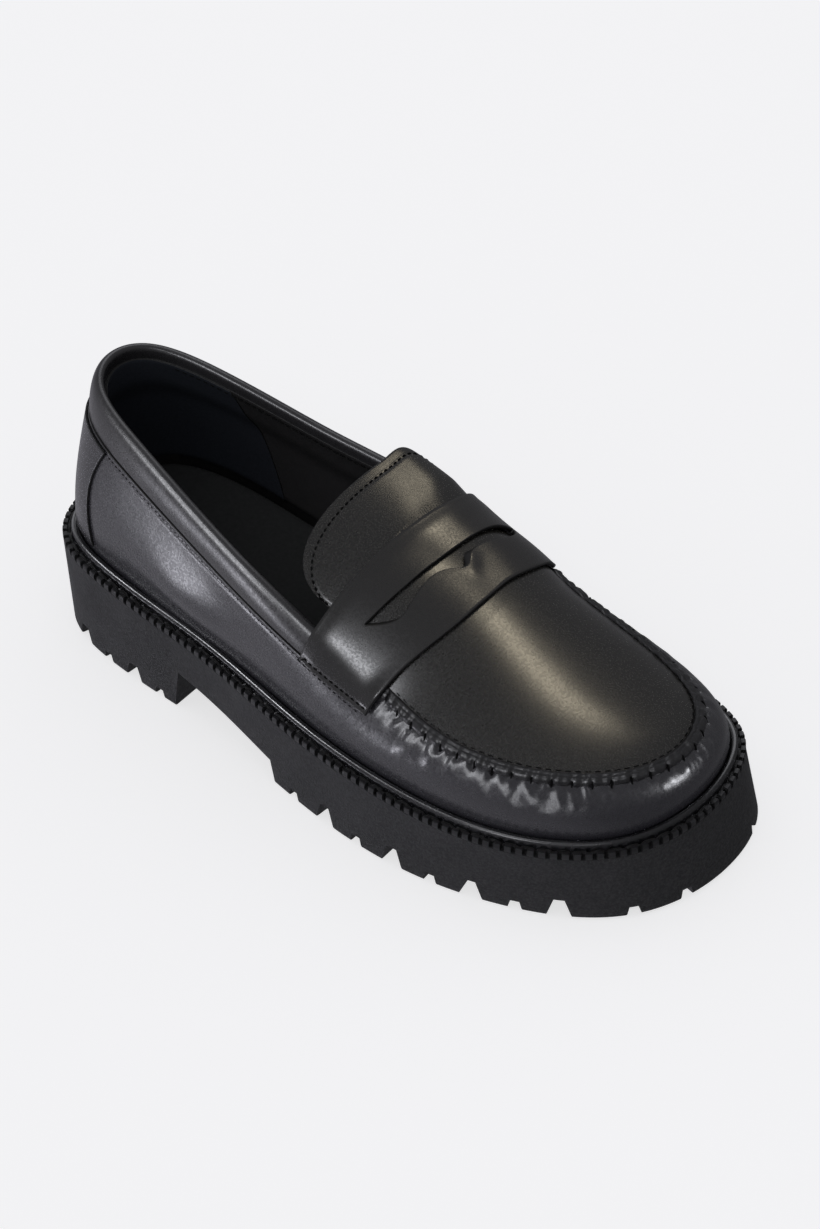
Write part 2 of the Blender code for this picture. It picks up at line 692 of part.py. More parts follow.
def main():
    for item in list(bpy.data.objects):
        bpy.data.objects.remove(item, do_unlink=True)
    parts = bpy.data.collections.new("loafer")
    cutters = bpy.data.collections.new("cutters")
    for collection in (parts, cutters):
        bpy.context.scene.collection.children.link(collection)
    make_outsole(parts, cutters)
    make_welt(parts)
    make_welt_edge(parts)
    make_insole(parts)
    make_upper(parts)
    make_collar(parts)
    make_back_strip(parts)
    make_tongue(parts)
    make_strap(parts, cutters)
    make_apron_seam(parts)


main()
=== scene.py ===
"""Looks of the slip-on loafer: leather, linings, stitches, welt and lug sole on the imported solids."""
import math

import bmesh
import bpy
import numpy as np
from mathutils import Matrix


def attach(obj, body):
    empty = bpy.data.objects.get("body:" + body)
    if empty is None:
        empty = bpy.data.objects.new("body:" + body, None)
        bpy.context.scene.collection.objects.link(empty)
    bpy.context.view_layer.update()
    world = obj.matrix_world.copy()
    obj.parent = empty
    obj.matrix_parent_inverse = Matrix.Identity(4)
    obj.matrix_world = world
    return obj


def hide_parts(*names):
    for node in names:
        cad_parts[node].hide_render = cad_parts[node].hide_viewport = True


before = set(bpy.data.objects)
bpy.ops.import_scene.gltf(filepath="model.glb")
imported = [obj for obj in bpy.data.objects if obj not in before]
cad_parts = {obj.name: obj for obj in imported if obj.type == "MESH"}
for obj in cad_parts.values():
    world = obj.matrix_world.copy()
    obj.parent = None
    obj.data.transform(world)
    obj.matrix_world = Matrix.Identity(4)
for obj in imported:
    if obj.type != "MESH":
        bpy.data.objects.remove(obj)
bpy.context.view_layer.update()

# Sizes shared with the solids, in millimetres
MM = 0.001
GAP = 0.3
LEDGE = 6.5
WALL = 2.0
FLANGE = 2.2
CHANNEL = 0.8
TOE_SPRING = 1.0
SPRING_START = 92.0
TOE_END = 139.0
TOE = 9
COLLAR_END = 4.75
TONGUE_REACH = 5.37
TONGUE_CORNER = 0.37
TONGUE_SQUARENESS = 5
TONGUE_ROUND = 0.45
TONGUE_EDGE = 0.13
BELLY_SHARE = 0.4
SHOULDER = 0.78
UP = np.array([0, 0, 1.0])

STATION_COLUMNS = ("name", "edge_x", "edge_y", "edge_z", "flare",
                   "top_x", "top_y", "top_z", "band", "belly", "shoulder", "drop")
STATIONS = (
    ("heel_back",       -139.0,   2.0, 40.0, -2.6, -128.0,   3.0, 105.0, 0.77, 1.2,  3.0, 22.0),
    ("heel_corner_out", -129.5, -27.0, 40.0, -1.3, -119.0, -14.0, 103.0, 0.77, 1.5,  4.0, 20.0),
    ("heel_side_out",   -101.0, -38.0, 38.5,  0.0,  -94.0, -24.0,  98.5, 0.76, 2.0,  5.0, 18.0),
    ("waist_out",        -50.0, -43.5, 35.0, -0.2,  -48.0, -35.0,  87.5, 0.73, 2.0,  5.0, 16.0),
    ("throat_out",         0.0, -52.5, 32.0,  0.5,    0.0, -41.0,  74.0, 0.70, 2.5,  6.5, 12.0),
    ("strap_out",         25.0, -55.0, 30.5,  1.6,   31.0, -41.0,  62.0, 0.72, 3.0,  9.0,  8.0),
    ("ball_out",          47.0, -55.5, 29.5,  1.8,   48.0, -43.0,  57.5, 0.75, 3.0,  8.5,  5.0),
    ("toe_side_out",      93.0, -48.5, 29.5, -0.2,   85.0, -38.5,  53.5, 0.75, 3.0,  8.5,  3.5),
    ("toe_corner_out",   125.0, -26.0, 30.5,  2.0,  114.0, -17.0,  51.0, 0.75, 3.0,  9.0,  3.0),
    ("toe_tip",          135.0,  13.5, 32.0,  4.6,  122.0,  12.5,  50.5, 0.75, 3.0,  9.0,  3.0),
    ("toe_corner_in",    124.2,  40.8, 32.0,  4.6,  110.0,  29.8,  51.5, 0.75, 3.0,  9.0,  3.0),
    ("toe_side_in",       99.5,  52.5, 30.5,  1.5,   87.0,  37.3,  53.5, 0.75, 3.0,  9.0,  3.5),
    ("ball_in",           54.0,  55.5, 29.5,  1.8,   52.0,  41.0,  58.5, 0.75, 3.0,  9.0,  5.0),
    ("strap_in",          29.0,  52.0, 30.5,  1.4,   33.0,  42.5,  64.0, 0.72, 3.0,  8.5,  8.0),
    ("throat_in",          4.0,  47.5, 32.0,  0.2,    4.0,  40.0,  76.0, 0.70, 2.5,  6.0, 12.0),
    ("waist_in",         -47.0,  41.0, 35.0, -0.4,  -47.0,  34.0,  87.0, 0.73, 2.0,  5.0, 16.0),
    ("heel_side_in",     -99.0,  41.0, 38.5, -0.2,  -92.0,  26.5,  98.0, 0.76, 2.0,  5.0, 18.0),
    ("heel_corner_in",  -129.0,  30.0, 40.0, -1.4, -119.0,  19.0, 103.0, 0.77, 1.5,  4.0, 20.0),
)
RIDGE_COLUMNS = ("pair", "x", "y", "z", "crown_out", "crown_in")
RIDGE = (
    (0.0,  113.0, 12.0,  56.0, 1.6, 1.6),
    (1.0,  102.0, 11.0,  60.5, 1.9, 1.9),
    (2.0,   80.0, 10.5,  68.5, 2.0, 2.0),
    (3.0,   50.0, 11.0,  79.0, 2.0, 2.1),
    (4.0,   30.0, 12.0,  86.5, 2.1, 2.5),
    (4.75,   8.5, 14.0,  94.0, 2.2, 3.1),
    (5.0,    1.0, 16.5,  96.2, 2.2, 4.4),
    (5.35, -15.0, 20.0,  98.8, 2.2, 6.0),
    (6.0,  -47.0, 24.0, 103.0, 2.2, 6.0),
)
STRAP_COLUMNS = ("across", "front", "rear")
STRAP = (
    (-1.0,  4.00, 5.00),
    (-0.75, 3.92, 4.92),
    (-0.4,  3.45, 4.80),
    (0.0,   3.25, 4.68),
    (0.4,   3.30, 4.70),
    (0.75,  3.65, 4.84),
    (1.0,   3.90, 4.92),
)
SLOT_COLUMNS = ("y", "rear_x", "front_x")
SLOT = (
    (-31.0, 16.2, 16.9),
    (-27.5, 17.3, 21.9),
    (-24.0, 18.3, 25.0),
    (-19.0, 19.7, 25.9),
    (-14.0, 21.0, 25.6),
    (-7.0,  22.5, 26.0),
    (-0.5,  23.8, 28.9),
    (5.0,   24.6, 32.4),
    (9.0,   25.1, 30.4),
    (12.0,  25.4, 29.8),
    (18.0,  26.0, 31.0),
    (25.0,  26.4, 32.6),
    (31.0,  26.6, 31.2),
    (35.0,  26.8, 27.5),
)
COLLAR_COLUMNS = ("rise", "depth")
COLLAR = (
    (0.02, 0.9),
    (0.14, 0.0),
    (0.40, -0.4),
    (0.75, -0.2),
    (0.94, 0.8),
    (1.0,  2.3),
    (0.94, 3.9),
    (0.6,  4.8),
    (0.02, 4.2),
)
NOTCH_COLUMNS = ("name", "first", "pitch", "count", "mouth", "top", "height", "inwards")
NOTCHES = (
    ("heel large",     47.3, 27.5, 2, 9.8, 4.2, 7.0, 18.0),
    ("heel small",     61.2, 27.0, 2, 6.2, 3.2, 3.8, 9.0),
    ("forefoot large", 178.2, 31.2, 4, 10.6, 3.8, 8.2, 20.0),
    ("forefoot small", 161.8, 31.6, 4, 6.6, 3.4, 4.2, 9.0),
    ("toe small",      296.8, 18.9, 2, 6.6, 3.4, 4.2, 9.0),
)
NOTCH_OUTSIDE = 5.0
NOTCH_BELOW = 2.0
BREAST_X = -66.0
BREAST_TOP_X = -63.0
BREAST_Z = 18.0
WAIST_X = -13.9
WAIST_Z = 10.0
FOREFOOT_X = -11.6
ARCH_REACH = 80.0
ARCH_BELOW = 5.0

# Puckers of the vamp below the apron seam: troughs that start at the seam and run down the wall.
PUCKER_COLUMNS = ("start", "end", "end_share", "depth", "width")
PUCKERS = (
    (5.24, 5.28, 0.75, 0.45, 1.0),
    (5.60, 5.30, 0.62, 0.50, 1.1),
    (5.94, 5.56, 0.53, 0.65, 1.2),
    (6.20, 6.12, 0.55, 0.80, 1.2),
    (6.38, 6.26, 0.80, 0.90, 0.9),
    (6.46, 6.36, 0.67, 0.60, 0.9),
    (6.56, 6.52, 0.62, 0.60, 1.0),
    (6.68, 6.58, 0.65, 0.80, 1.1),
    (6.84, 6.82, 0.54, 1.00, 1.1),
    (7.06, 7.04, 0.54, 1.00, 1.1),
    (7.24, 7.28, 0.71, 0.60, 0.9),
    (7.36, 7.30, 0.53, 0.90, 1.1),
    (7.56, 7.66, 0.66, 0.70, 1.0),
    (7.68, 7.78, 0.63, 0.70, 1.0),
    (7.90, 7.94, 0.72, 0.50, 0.9),
    (8.14, 8.14, 0.77, 0.40, 0.8),
    (8.42, 8.36, 0.77, 0.40, 0.8),
    (8.66, 8.60, 0.76, 0.40, 0.8),
    (8.92, 9.04, 0.70, 0.50, 0.8),
    (9.10, 9.20, 0.66, 0.55, 0.8),
    (9.45, 9.52, 0.70, 0.45, 0.9),
    (9.80, 9.86, 0.68, 0.45, 0.9),
    (10.1, 10.17, 0.65, 0.45, 1.0),
    (10.5, 10.57, 0.62, 0.45, 1.0),
    (10.9, 10.97, 0.62, 0.45, 1.0),
    (11.3, 11.40, 0.62, 0.45, 1.0),
    (11.7, 11.80, 0.60, 0.45, 1.1),
    (12.1, 12.28, 0.60, 0.45, 1.1),
    (12.4, 12.66, 0.60, 0.40, 1.1),
)
WRINKLE_SEED = 11
WRINKLE_STEP = 0.045
WRINKLE_COLUMNS = ("station", "busy")
WRINKLES = (
    (4.95, 0.7),
    (5.6,  0.9),
    (7.6,  0.95),
    (8.1,  0.45),
    (8.5,  0.7),
    (9.3,  0.7),
    (10.0, 0.4),
    (13.0, 0.4),
)
SOFT_REACH = 8.0
SLOT_STEP = 7.0
FLAP_ROWS = 22
SEAM_FIRST = 4.93
SEAM_LAST = 12.95
SEAM_HALF = 2.3
STITCH_PITCH = 6.6
BULGE_COLUMNS = ("station", "share", "height", "along", "across", "lean")
BULGES = (
    (2.80, 0.31, 2.1, 26.0, 13.0, 0.08),
    (15.4, 0.33, 1.5, 27.0, 13.0, -0.08),
)


def column(rows, columns, *names):
    """The named columns of a table as an array."""
    places = [columns.index(name) for name in names]
    return np.array([[row[place] for place in places] for row in rows], float)


def cubic(knots, values, period=None):
    """Smooth curve through the values: closed where a period is given, else with free ends."""
    knots = np.asarray(knots, float)
    values = np.asarray(values, float)
    if period is not None:
        knots = np.append(knots, knots[0] + period)
        values = np.vstack([values, values[:1]])
    count = len(knots)
    step = np.diff(knots)
    slope = np.diff(values, axis=0) / step[:, None]
    system = np.zeros((count, count))
    right = np.zeros_like(values)
    for i in range(1, count - 1):
        system[i, i - 1:i + 2] = step[i - 1], 2 * (step[i - 1] + step[i]), step[i]
        right[i] = 6 * (slope[i] - slope[i - 1])
    if period is None:
        system[0, 0] = system[-1, -1] = 1
    else:
        system[0, 0], system[0, -1] = 1, -1
        system[-1, 0], system[-1, 1] = 2 * step[0], step[0]
        system[-1, -2], system[-1, -1] = step[-1], 2 * step[-1]
        right[-1] = 6 * (slope[0] - slope[-1])
    bend = np.linalg.solve(system, right)

    def curve(where):
        """Values of the curve at places along it."""
        where = np.atleast_1d(np.asarray(where, float))
        if period is not None:
            where = knots[0] + np.mod(where - knots[0], period)
        i = np.clip(np.searchsorted(knots, where, side="right") - 1, 0, count - 2)
        a = ((knots[i + 1] - where) / step[i])[:, None]
        b = 1 - a
        width = (step[i] ** 2 / 6)[:, None]
        return (a * values[i] + b * values[i + 1]
                + width * ((a ** 3 - a) * bend[i] + (b ** 3 - b) * bend[i + 1]))
    return curve


EDGE = column(STATIONS, STATION_COLUMNS, "edge_x", "edge_y")
SHAPE = column(STATIONS, STATION_COLUMNS, *STATION_COLUMNS[1:])
CHORD = np.linalg.norm(np.roll(EDGE, -1, axis=0) - EDGE, axis=1)
DISTANCE = np.concatenate([[0.0], np.cumsum(CHORD)])
ROUND = cubic(DISTANCE[:-1], SHAPE, DISTANCE[-1])
COUNT = len(STATIONS)
FIELD = {name: number for number, name in enumerate(STATION_COLUMNS[1:])}
TOP = [FIELD[name] for name in ("top_x", "top_y", "top_z")]
RIDGE_LINE = cubic(column(RIDGE, RIDGE_COLUMNS, "pair")[:, 0],
                   column(RIDGE, RIDGE_COLUMNS, *RIDGE_COLUMNS[1:]))
STRAP_EDGES = cubic(column(STRAP, STRAP_COLUMNS, "across")[:, 0],
                    column(STRAP, STRAP_COLUMNS, "front", "rear"))


def along(station):
    """Distance round the shoe at a station number."""
    station = np.asarray(station, float)
    turns = np.floor(station / COUNT)
    return np.interp(station - turns * COUNT, np.arange(COUNT + 1), DISTANCE) + turns * DISTANCE[-1]


def station_at(distance):
    """Station number at a distance round the shoe."""
    distance = np.asarray(distance, float)
    turns = np.floor(distance / DISTANCE[-1])
    return np.interp(distance - turns * DISTANCE[-1], DISTANCE, np.arange(COUNT + 1)) + turns * COUNT


def rows_at(station):
    """All table values at the station numbers, with the outward direction in plan."""
    place = along(np.atleast_1d(station))
    near = 0.5
    values = ROUND(place)
    run = ROUND(place + near)[:, :2] - ROUND(place - near)[:, :2]
    run /= np.linalg.norm(run, axis=1)[:, None]
    outward = np.stack([run[:, 1], -run[:, 0], np.zeros(len(run))], axis=1)
    return values, outward


def sole_edge(station, outset=0.0, lift=0.0):
    """Points of the sole's upper edge, moved outwards and up."""
    values, outward = rows_at(station)
    return values[:, :3] + outward * np.reshape(outset, (-1, 1)) + UP * np.reshape(lift, (-1, 1))


def sole_foot(station, outset=0.0, lift=0.0):
    """Points of the sole's foot: flat on the ground, rising at the toe."""
    values, outward = rows_at(station)
    foot = values[:, :3] + outward * (values[:, [FIELD["flare"]]] + outset)
    spring = np.clip((foot[:, 0] - SPRING_START) / (TOE_END - SPRING_START), 0, None)
    foot[:, 2] = TOE_SPRING * spring ** 2 + lift
    return foot


def wall(station, share):
    """Outer face of the upper's wall: share 0 on the ledge, 1 at the collar top or apron seam."""
    values, outward = rows_at(station)
    share = np.broadcast_to(np.asarray(share, float), len(values))[:, None]
    belly, shoulder, drop = (values[:, [FIELD[name]]] for name in ("belly", "shoulder", "drop"))
    foot = values[:, :3] - outward * LEDGE - UP * FLANGE
    top = values[:, TOP]
    height = top[:, 2:] - foot[:, 2:]
    low = foot + UP * height * BELLY_SHARE + outward * belly
    high = top + outward * shoulder - UP * drop
    rest = 1 - share
    return (rest ** 3 * foot + 3 * rest ** 2 * share * low
            + 3 * rest * share ** 2 * high + share ** 3 * top)


def wall_normal(station, share):
    """Outward direction of the wall's face."""
    near = 0.01
    station = np.atleast_1d(np.asarray(station, float))
    share = np.broadcast_to(np.asarray(share, float), len(station))
    run = wall(station + near, share) - wall(station - near, share)
    rise = wall(station, share + near) - wall(station, share - near)
    cross = np.cross(run, rise)
    return cross / np.linalg.norm(cross, axis=1)[:, None]


def band(station):
    """Share of the wall at the collar's seam."""
    return rows_at(station)[0][:, FIELD["band"]]


def wall_span(station, share):
    """Millimetres of wall per unit of share."""
    near = 0.02
    return np.linalg.norm(wall(station, share) - wall(station, np.asarray(share) - near), axis=1) / near


def apron(pair, side, share):
    """Instep surface from the wall's top (share 0) to the ridge (share 1), on side -1 or 1."""
    pair = np.atleast_1d(np.asarray(pair, float))
    side = np.broadcast_to(np.asarray(side, float), len(pair))
    share = np.broadcast_to(np.asarray(share, float), len(pair))
    rim = wall(TOE + side * pair, 1.0)
    ridge = RIDGE_LINE(pair)
    crown = np.where(side < 0, ridge[:, 3], ridge[:, 4])
    rise = 1 - (1 - share) ** crown
    plan = rim[:, :2] + (ridge[:, :2] - rim[:, :2]) * share[:, None]
    height = rim[:, 2] + (ridge[:, 2] - rim[:, 2]) * rise
    return np.column_stack([plan, height])


def saddle(pair, across):
    """Surface that the strap lies on: apron inside the shoulder, wall below it."""
    side = np.where(across < 0, -1.0, 1.0)
    reach = np.abs(across) / SHOULDER
    top = apron(pair, side, np.clip(1 - reach, 0, 1))
    station = TOE + side * pair
    low = band(station)
    share = 1 - (1 - low) * np.clip(reach - 1, 0, None) / (1 / SHOULDER - 1)
    return np.where((reach <= 1)[:, None], top, wall(station, share))


# Meshes from grids

def smooth(x):
    """Soft step from 0 to 1, level at both ends."""
    x = np.clip(x, 0, 1)
    return x * x * (3 - 2 * x)


def unit(vectors):
    """Vectors brought to length 1."""
    return vectors / np.maximum(np.linalg.norm(vectors, axis=-1), 1e-9)[..., None]


def grid_normals(grid, closed=False):
    """Unit normals of a grid of points."""
    if closed:
        wide = np.concatenate([grid[:, -1:], grid, grid[:, :1]], axis=1)
        across = (wide[:, 2:] - wide[:, :-2]) / 2
    else:
        across = np.gradient(grid, axis=1)
    return unit(np.cross(across, np.gradient(grid, axis=0)))


def upward_normals(grid):
    """Unit normals of an open grid, on the side that faces up."""
    normal = grid_normals(grid)
    return normal if normal[..., 2].mean() > 0 else -normal


def numbered(grid):
    """Number of each point of a grid."""
    return np.arange(grid.shape[0] * grid.shape[1]).reshape(grid.shape[:2])


def quads(index, closed=False):
    """Faces between neighbouring numbers of a grid."""
    right = np.roll(index, -1, axis=1) if closed else index[:, 1:]
    left = index if closed else index[:, :-1]
    return np.stack([left[:-1], right[:-1], right[1:], left[1:]], axis=-1).reshape(-1, 4)


def ladder(ring):
    """Faces across a closed ring of points, joining each to its partner on the other side."""
    count = len(ring)
    half = count // 2
    pairs = [(int(ring[half - m]), int(ring[(half + m) % count])) for m in range(half + 1)]
    return [tuple(dict.fromkeys((near, far, far_next, near_next)))
            for (near, far), (near_next, far_next) in zip(pairs, pairs[1:])]


def outward_mesh(name, points, faces):
    """Mesh from points in millimetres, its faces turned outwards."""
    mesh = bpy.data.meshes.new(name)
    mesh.from_pydata((np.asarray(points) * MM).tolist(), [], faces)
    shape = bmesh.new()
    shape.from_mesh(mesh)
    bmesh.ops.recalc_face_normals(shape, faces=shape.faces)
    shape.to_mesh(mesh)
    shape.free()
    return mesh


def shade(mesh, sharp):
    """Smooth shading, broken at edges sharper than an angle in degrees."""
    mesh.shade_smooth()
    mesh.set_sharp_from_angle(angle=math.radians(sharp))


def new_object(name, data):
    """Object for a mesh, light or camera, in the scene."""
    item = bpy.data.objects.new(name, data)
    bpy.context.scene.collection.objects.link(item)
    return item


def new_piece(name, mesh, materials, node=None):
    """Object that rides on the shoe, and hides the CAD node it takes the place of, where one is named."""
    for material in materials:
        mesh.materials.append(material)
    piece = new_object(name, mesh)
    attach(piece, "root")
    if node:
        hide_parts(node)
    return piece


def solid_piece(name, points, faces, materials, node=None, indices=None, sharp=60.0):
    """Piece from the points and faces of a closed solid, with a material number for each face."""
    mesh = outward_mesh(name, points, faces)
    shade(mesh, sharp)
    piece = new_piece(name, mesh, materials, node)
    if indices is not None:
        mesh.polygons.foreach_set("material_index", np.asarray(indices, np.int32))
    return piece


def loft(name, rings, materials, node, closed_rows=False, indices=None, sharp=60.0):
    """Closed solid from rings of points: the last one joins the first, or both are filled."""
    grid = np.stack(rings)
    index = numbered(grid)
    if closed_rows:
        faces = quads(np.vstack([index, index[:1]]), closed=True).tolist()
    else:
        faces = quads(index, closed=True).tolist() + ladder(index[0]) + ladder(index[-1])
    return solid_piece(name, grid.reshape(-1, 3), faces, materials, node, indices, sharp)


def sweep(name, sections, material, node):
    """Closed solid from a row of cross-sections, with both ends filled."""
    index = numbered(sections)
    faces = quads(index, closed=True).tolist() + [tuple(index[0]), tuple(index[-1][::-1])]
    return solid_piece(name, sections.reshape(-1, 3), faces, [material], node, sharp=80.0)


EDGE_SHARES = (0.12, 0.35, 0.65, 0.88)
EDGE_SMOOTHING = 3


def sheet_loops(rows, columns, closed, hole, slope):
    """Cut edges of a sheet: their rows and columns, those just inside, and how far each leans."""
    span = np.arange(columns)
    level = np.zeros(columns)
    if closed:
        loops = [(np.zeros(columns, int), span, np.ones(columns, int), span, level),
                 (np.full(columns, rows - 1), span, np.full(columns, rows - 2), span, level)]
    else:
        down = np.arange(1, rows)
        r = np.concatenate([np.zeros(columns, int), down, np.full(columns - 1, rows - 1), down[-2::-1]])
        c = np.concatenate([span, np.full(rows - 1, columns - 1), span[-2::-1], np.zeros(rows - 2, int)])
        loops = [(r, c, np.clip(r, 1, rows - 2), np.clip(c, 1, columns - 2), np.zeros(len(r)))]
    if hole:
        row, first, last = hole
        run = np.arange(first, last + 1)
        r = np.repeat([row, row + 1], len(run))
        c = np.concatenate([run, run[::-1]])
        loops.append((r, c, np.where(r == row, row - 1, row + 2), c, np.where(r == row, slope[c], 0.0)))
    return loops


def solid_sheet(name, outer, normal, thickness, materials, node=None, bulge=0.3, closed=False,
                hole=None, slope=None):
    """Closed leather sheet under a grid of points, with rounded cut edges and an optional slot.

    The materials are those of the outer face, the edges and the inner face."""
    inner = outer - normal * thickness
    index = numbered(outer)
    total = index.size
    outer_faces = quads(index, closed)
    if hole:
        row, first, last = hole
        place = np.arange(len(outer_faces)).reshape(len(outer) - 1, -1)
        outer_faces = np.delete(outer_faces, place[row, first:last], axis=0)
    inner_faces = outer_faces[:, ::-1] + total
    faces = outer_faces.tolist() + inner_faces.tolist()
    indices = [0] * len(outer_faces) + [2] * len(inner_faces)
    points = [outer.reshape(-1, 3), inner.reshape(-1, 3)]
    count = 2 * total
    for r, c, inside_r, inside_c, lean in sheet_loops(*index.shape, closed, hole, slope):
        away = outer[r, c] - outer[inside_r, inside_c]
        away = unit(away - normal[r, c] * np.sum(away * normal[r, c], axis=1)[:, None])
        for _ in range(EDGE_SMOOTHING):
            away = unit(np.roll(away, 1, axis=0) + 2 * away + np.roll(away, -1, axis=0))
        chain = [index[r, c]]
        for share in EDGE_SHARES:
            swell = bulge * math.sqrt(4 * share * (1 - share)) + lean * share
            points.append(outer[r, c] * (1 - share) + inner[r, c] * share + away * swell[:, None])
            chain.append(np.arange(count, count + len(r)))
            count += len(r)
        chain.append(index[r, c] + total)
        edge = quads(np.stack(chain), closed=True)
        faces += edge.tolist()
        indices += [1] * len(edge)
    return solid_piece(name, np.vstack(points), faces, materials, node, indices)


def tubes(name, paths, normals, radii, material, sides=6):
    """Many short threads as one mesh: paths and normals per thread, radii along each."""
    number, length = paths.shape[:2]
    run = unit(np.gradient(paths, axis=1))
    side = unit(np.cross(run, normals))
    lift = unit(np.cross(side, run))
    angle = np.arange(sides) * 2 * math.pi / sides
    ring = np.cos(angle)[:, None] * lift[:, :, None, :] + np.sin(angle)[:, None] * side[:, :, None, :]
    points = paths[:, :, None, :] + ring * np.reshape(radii, (1, length, 1, 1))
    one = np.arange(length * sides).reshape(length, sides)
    around_one = quads(one, closed=True)
    ends = np.stack([one[0], one[-1][::-1]])
    faces = []
    for first in range(0, number * one.size, one.size):
        faces += (around_one + first).tolist() + (ends + first).tolist()
    return solid_piece(name, points.reshape(-1, 3), faces, [material])


def arc_length(path):
    """Distance of each point of a path from its start."""
    return np.concatenate([[0.0], np.cumsum(np.linalg.norm(np.diff(path, axis=0), axis=1))])


def at_length(path, values, where):
    """Values along a path at distances from its start."""
    length = arc_length(path)
    flat = np.ravel(where)
    found = np.stack([np.interp(flat, length, values[:, i]) for i in range(3)], axis=1)
    return found.reshape(np.shape(where) + (3,))


def stitch_row(name, kind, path, normal):
    """Row of threads along a path, each bowed up in its middle and sunk at its ends."""
    length, pitch, radius, rise, sink, thread = STITCHES[kind]
    total = arc_length(path)[-1]
    count = max(int(total / pitch), 1)
    middle = (np.arange(count) + 0.5) * total / count
    offset = np.linspace(-0.5, 0.5, 7)
    where = middle[:, None] + offset * length
    up = unit(at_length(path, normal, where))
    height = rise - sink * (2 * np.abs(offset)) ** 3
    points = at_length(path, path, where) + up * height[None, :, None]
    radii = radius * np.sqrt(np.clip(1 - (1.9 * offset) ** 6, 0.05, 1))
    return tubes(name, points, up, radii, thread)


def seat(path, grid, normal):
    """Path moved onto the nearest part of a surface, with the directions there."""
    points, directions = grid.reshape(-1, 3), normal.reshape(-1, 3)
    placed, ups = [], []
    for point in path:
        near = np.argmin(np.sum((points - point) ** 2, axis=1))
        up = directions[near]
        placed.append(point - up * np.dot(point - points[near], up))
        ups.append(up)
    return np.array(placed), np.array(ups)


def press(grid, normal, path, depth, width):
    """Surface with a soft trough pressed in along a path."""
    points = grid.reshape(-1, 3)
    nearest = np.full(len(points), np.inf)
    for point in path:
        nearest = np.minimum(nearest, np.sum((points - point) ** 2, axis=1))
    amount = depth * np.exp(-nearest / width ** 2)
    return grid - normal * amount.reshape(grid.shape[:2])[..., None]


# Materials

COAT_ROUGHNESS = 0.2


def fill(tree, node, **values):
    """Sockets of a node set to values, or linked where a value is another node's output."""
    for name, value in values.items():
        socket = node.inputs[name.replace("_", " ")]
        if isinstance(value, bpy.types.NodeSocket):
            tree.links.new(value, socket)
        else:
            socket.default_value = value


def add_node(tree, kind, settings=(), **values):
    """New shader node with its settings, and its sockets filled."""
    node = tree.nodes.new(kind)
    for name, value in settings:
        setattr(node, name, value)
    fill(tree, node, **values)
    return node


def shader(name, colour, roughness, coat=0.0, specular=0.5):
    """Material, its node tree, its surface and the place on the object."""
    material = bpy.data.materials.new(name)
    material.use_nodes = True
    tree = material.node_tree
    surface = tree.nodes["Principled BSDF"]
    fill(tree, surface, Base_Color=(*colour, 1), Roughness=roughness, Specular_IOR_Level=specular,
         Coat_Weight=coat, Coat_Roughness=COAT_ROUGHNESS)
    return material, tree, surface, add_node(tree, "ShaderNodeTexCoord").outputs["Object"]


def noise(tree, place, scale, **values):
    """Value of a noise texture, with its number of cells in a metre."""
    return add_node(tree, "ShaderNodeTexNoise", Vector=place, Scale=scale, **values).outputs["Fac"]


def spread(tree, source, low, high, low_to, high_to):
    """Value of a texture stretched to a new range."""
    return add_node(tree, "ShaderNodeMapRange", Value=source, From_Min=low, From_Max=high,
                    To_Min=low_to, To_Max=high_to).outputs["Result"]


def bump(tree, height, distance, strength, **below):
    """Normal raised by a texture, by a distance in millimetres, over the normal below."""
    return add_node(tree, "ShaderNodeBump", Strength=strength, Distance=distance * MM, Height=height,
                    **below).outputs["Normal"]


def tint(tree, value, dark, light):
    """Colour between two tones, by a value from 0 to 1."""
    return add_node(tree, "ShaderNodeMix", (("data_type", "RGBA"),), Factor=value, A=(*dark, 1),
                    B=(*light, 1)).outputs["Result"]


def leather(name, dark, light, roughness, coat, grain=1.0, undulation=1.0, crumple=0.0):
    """Finished leather: pores, fine grain, crumpled skin, soft unevenness and varied gloss."""
    material, tree, surface, place = shader(name, dark, roughness, coat)
    pores = noise(tree, place, 1100.0, Detail=0.0)
    fine = noise(tree, place, 520.0, Detail=1.0, Roughness=0.5)
    skin = noise(tree, place, 330.0, Detail=5.0, Roughness=0.6, Distortion=0.8)
    broad = noise(tree, place, 70.0, Detail=2.0)
    normal = bump(tree, broad, 0.3 * undulation, 0.6)
    if crumple:
        normal = bump(tree, skin, 0.16 * crumple, 0.7, Normal=normal)
    normal = bump(tree, fine, 0.02 * grain, 0.7, Normal=normal)
    normal = bump(tree, pores, 0.014 * grain, 0.6, Normal=normal)
    gloss = spread(tree, pores, 0.3, 0.7, roughness - 0.05 * grain, roughness + 0.06 * grain)
    fill(tree, surface, Base_Color=tint(tree, skin, dark, light), Roughness=gloss, Normal=normal)
    return material


def rubber(name, dark, light, roughness, coat=0.0, speckle=0.0):
    """Moulded rubber: fine matte grain, speckled where the mould is sandblasted."""
    material, tree, surface, place = shader(name, dark, roughness, coat, 0.3)
    speck = noise(tree, place, 1000.0, Detail=2.0, Roughness=0.8)
    cloud = noise(tree, place, 60.0, Detail=4.0)
    tone = spread(tree, speck if speckle else cloud, 0.38, 0.68, 0.0, 1.0)
    gloss = spread(tree, cloud, 0.3, 0.7, roughness - 0.06, roughness + 0.06)
    fill(tree, surface, Base_Color=tint(tree, tone, dark, light), Roughness=gloss,
         Normal=bump(tree, speck, 0.1 + 0.2 * speckle, 0.6))
    return material


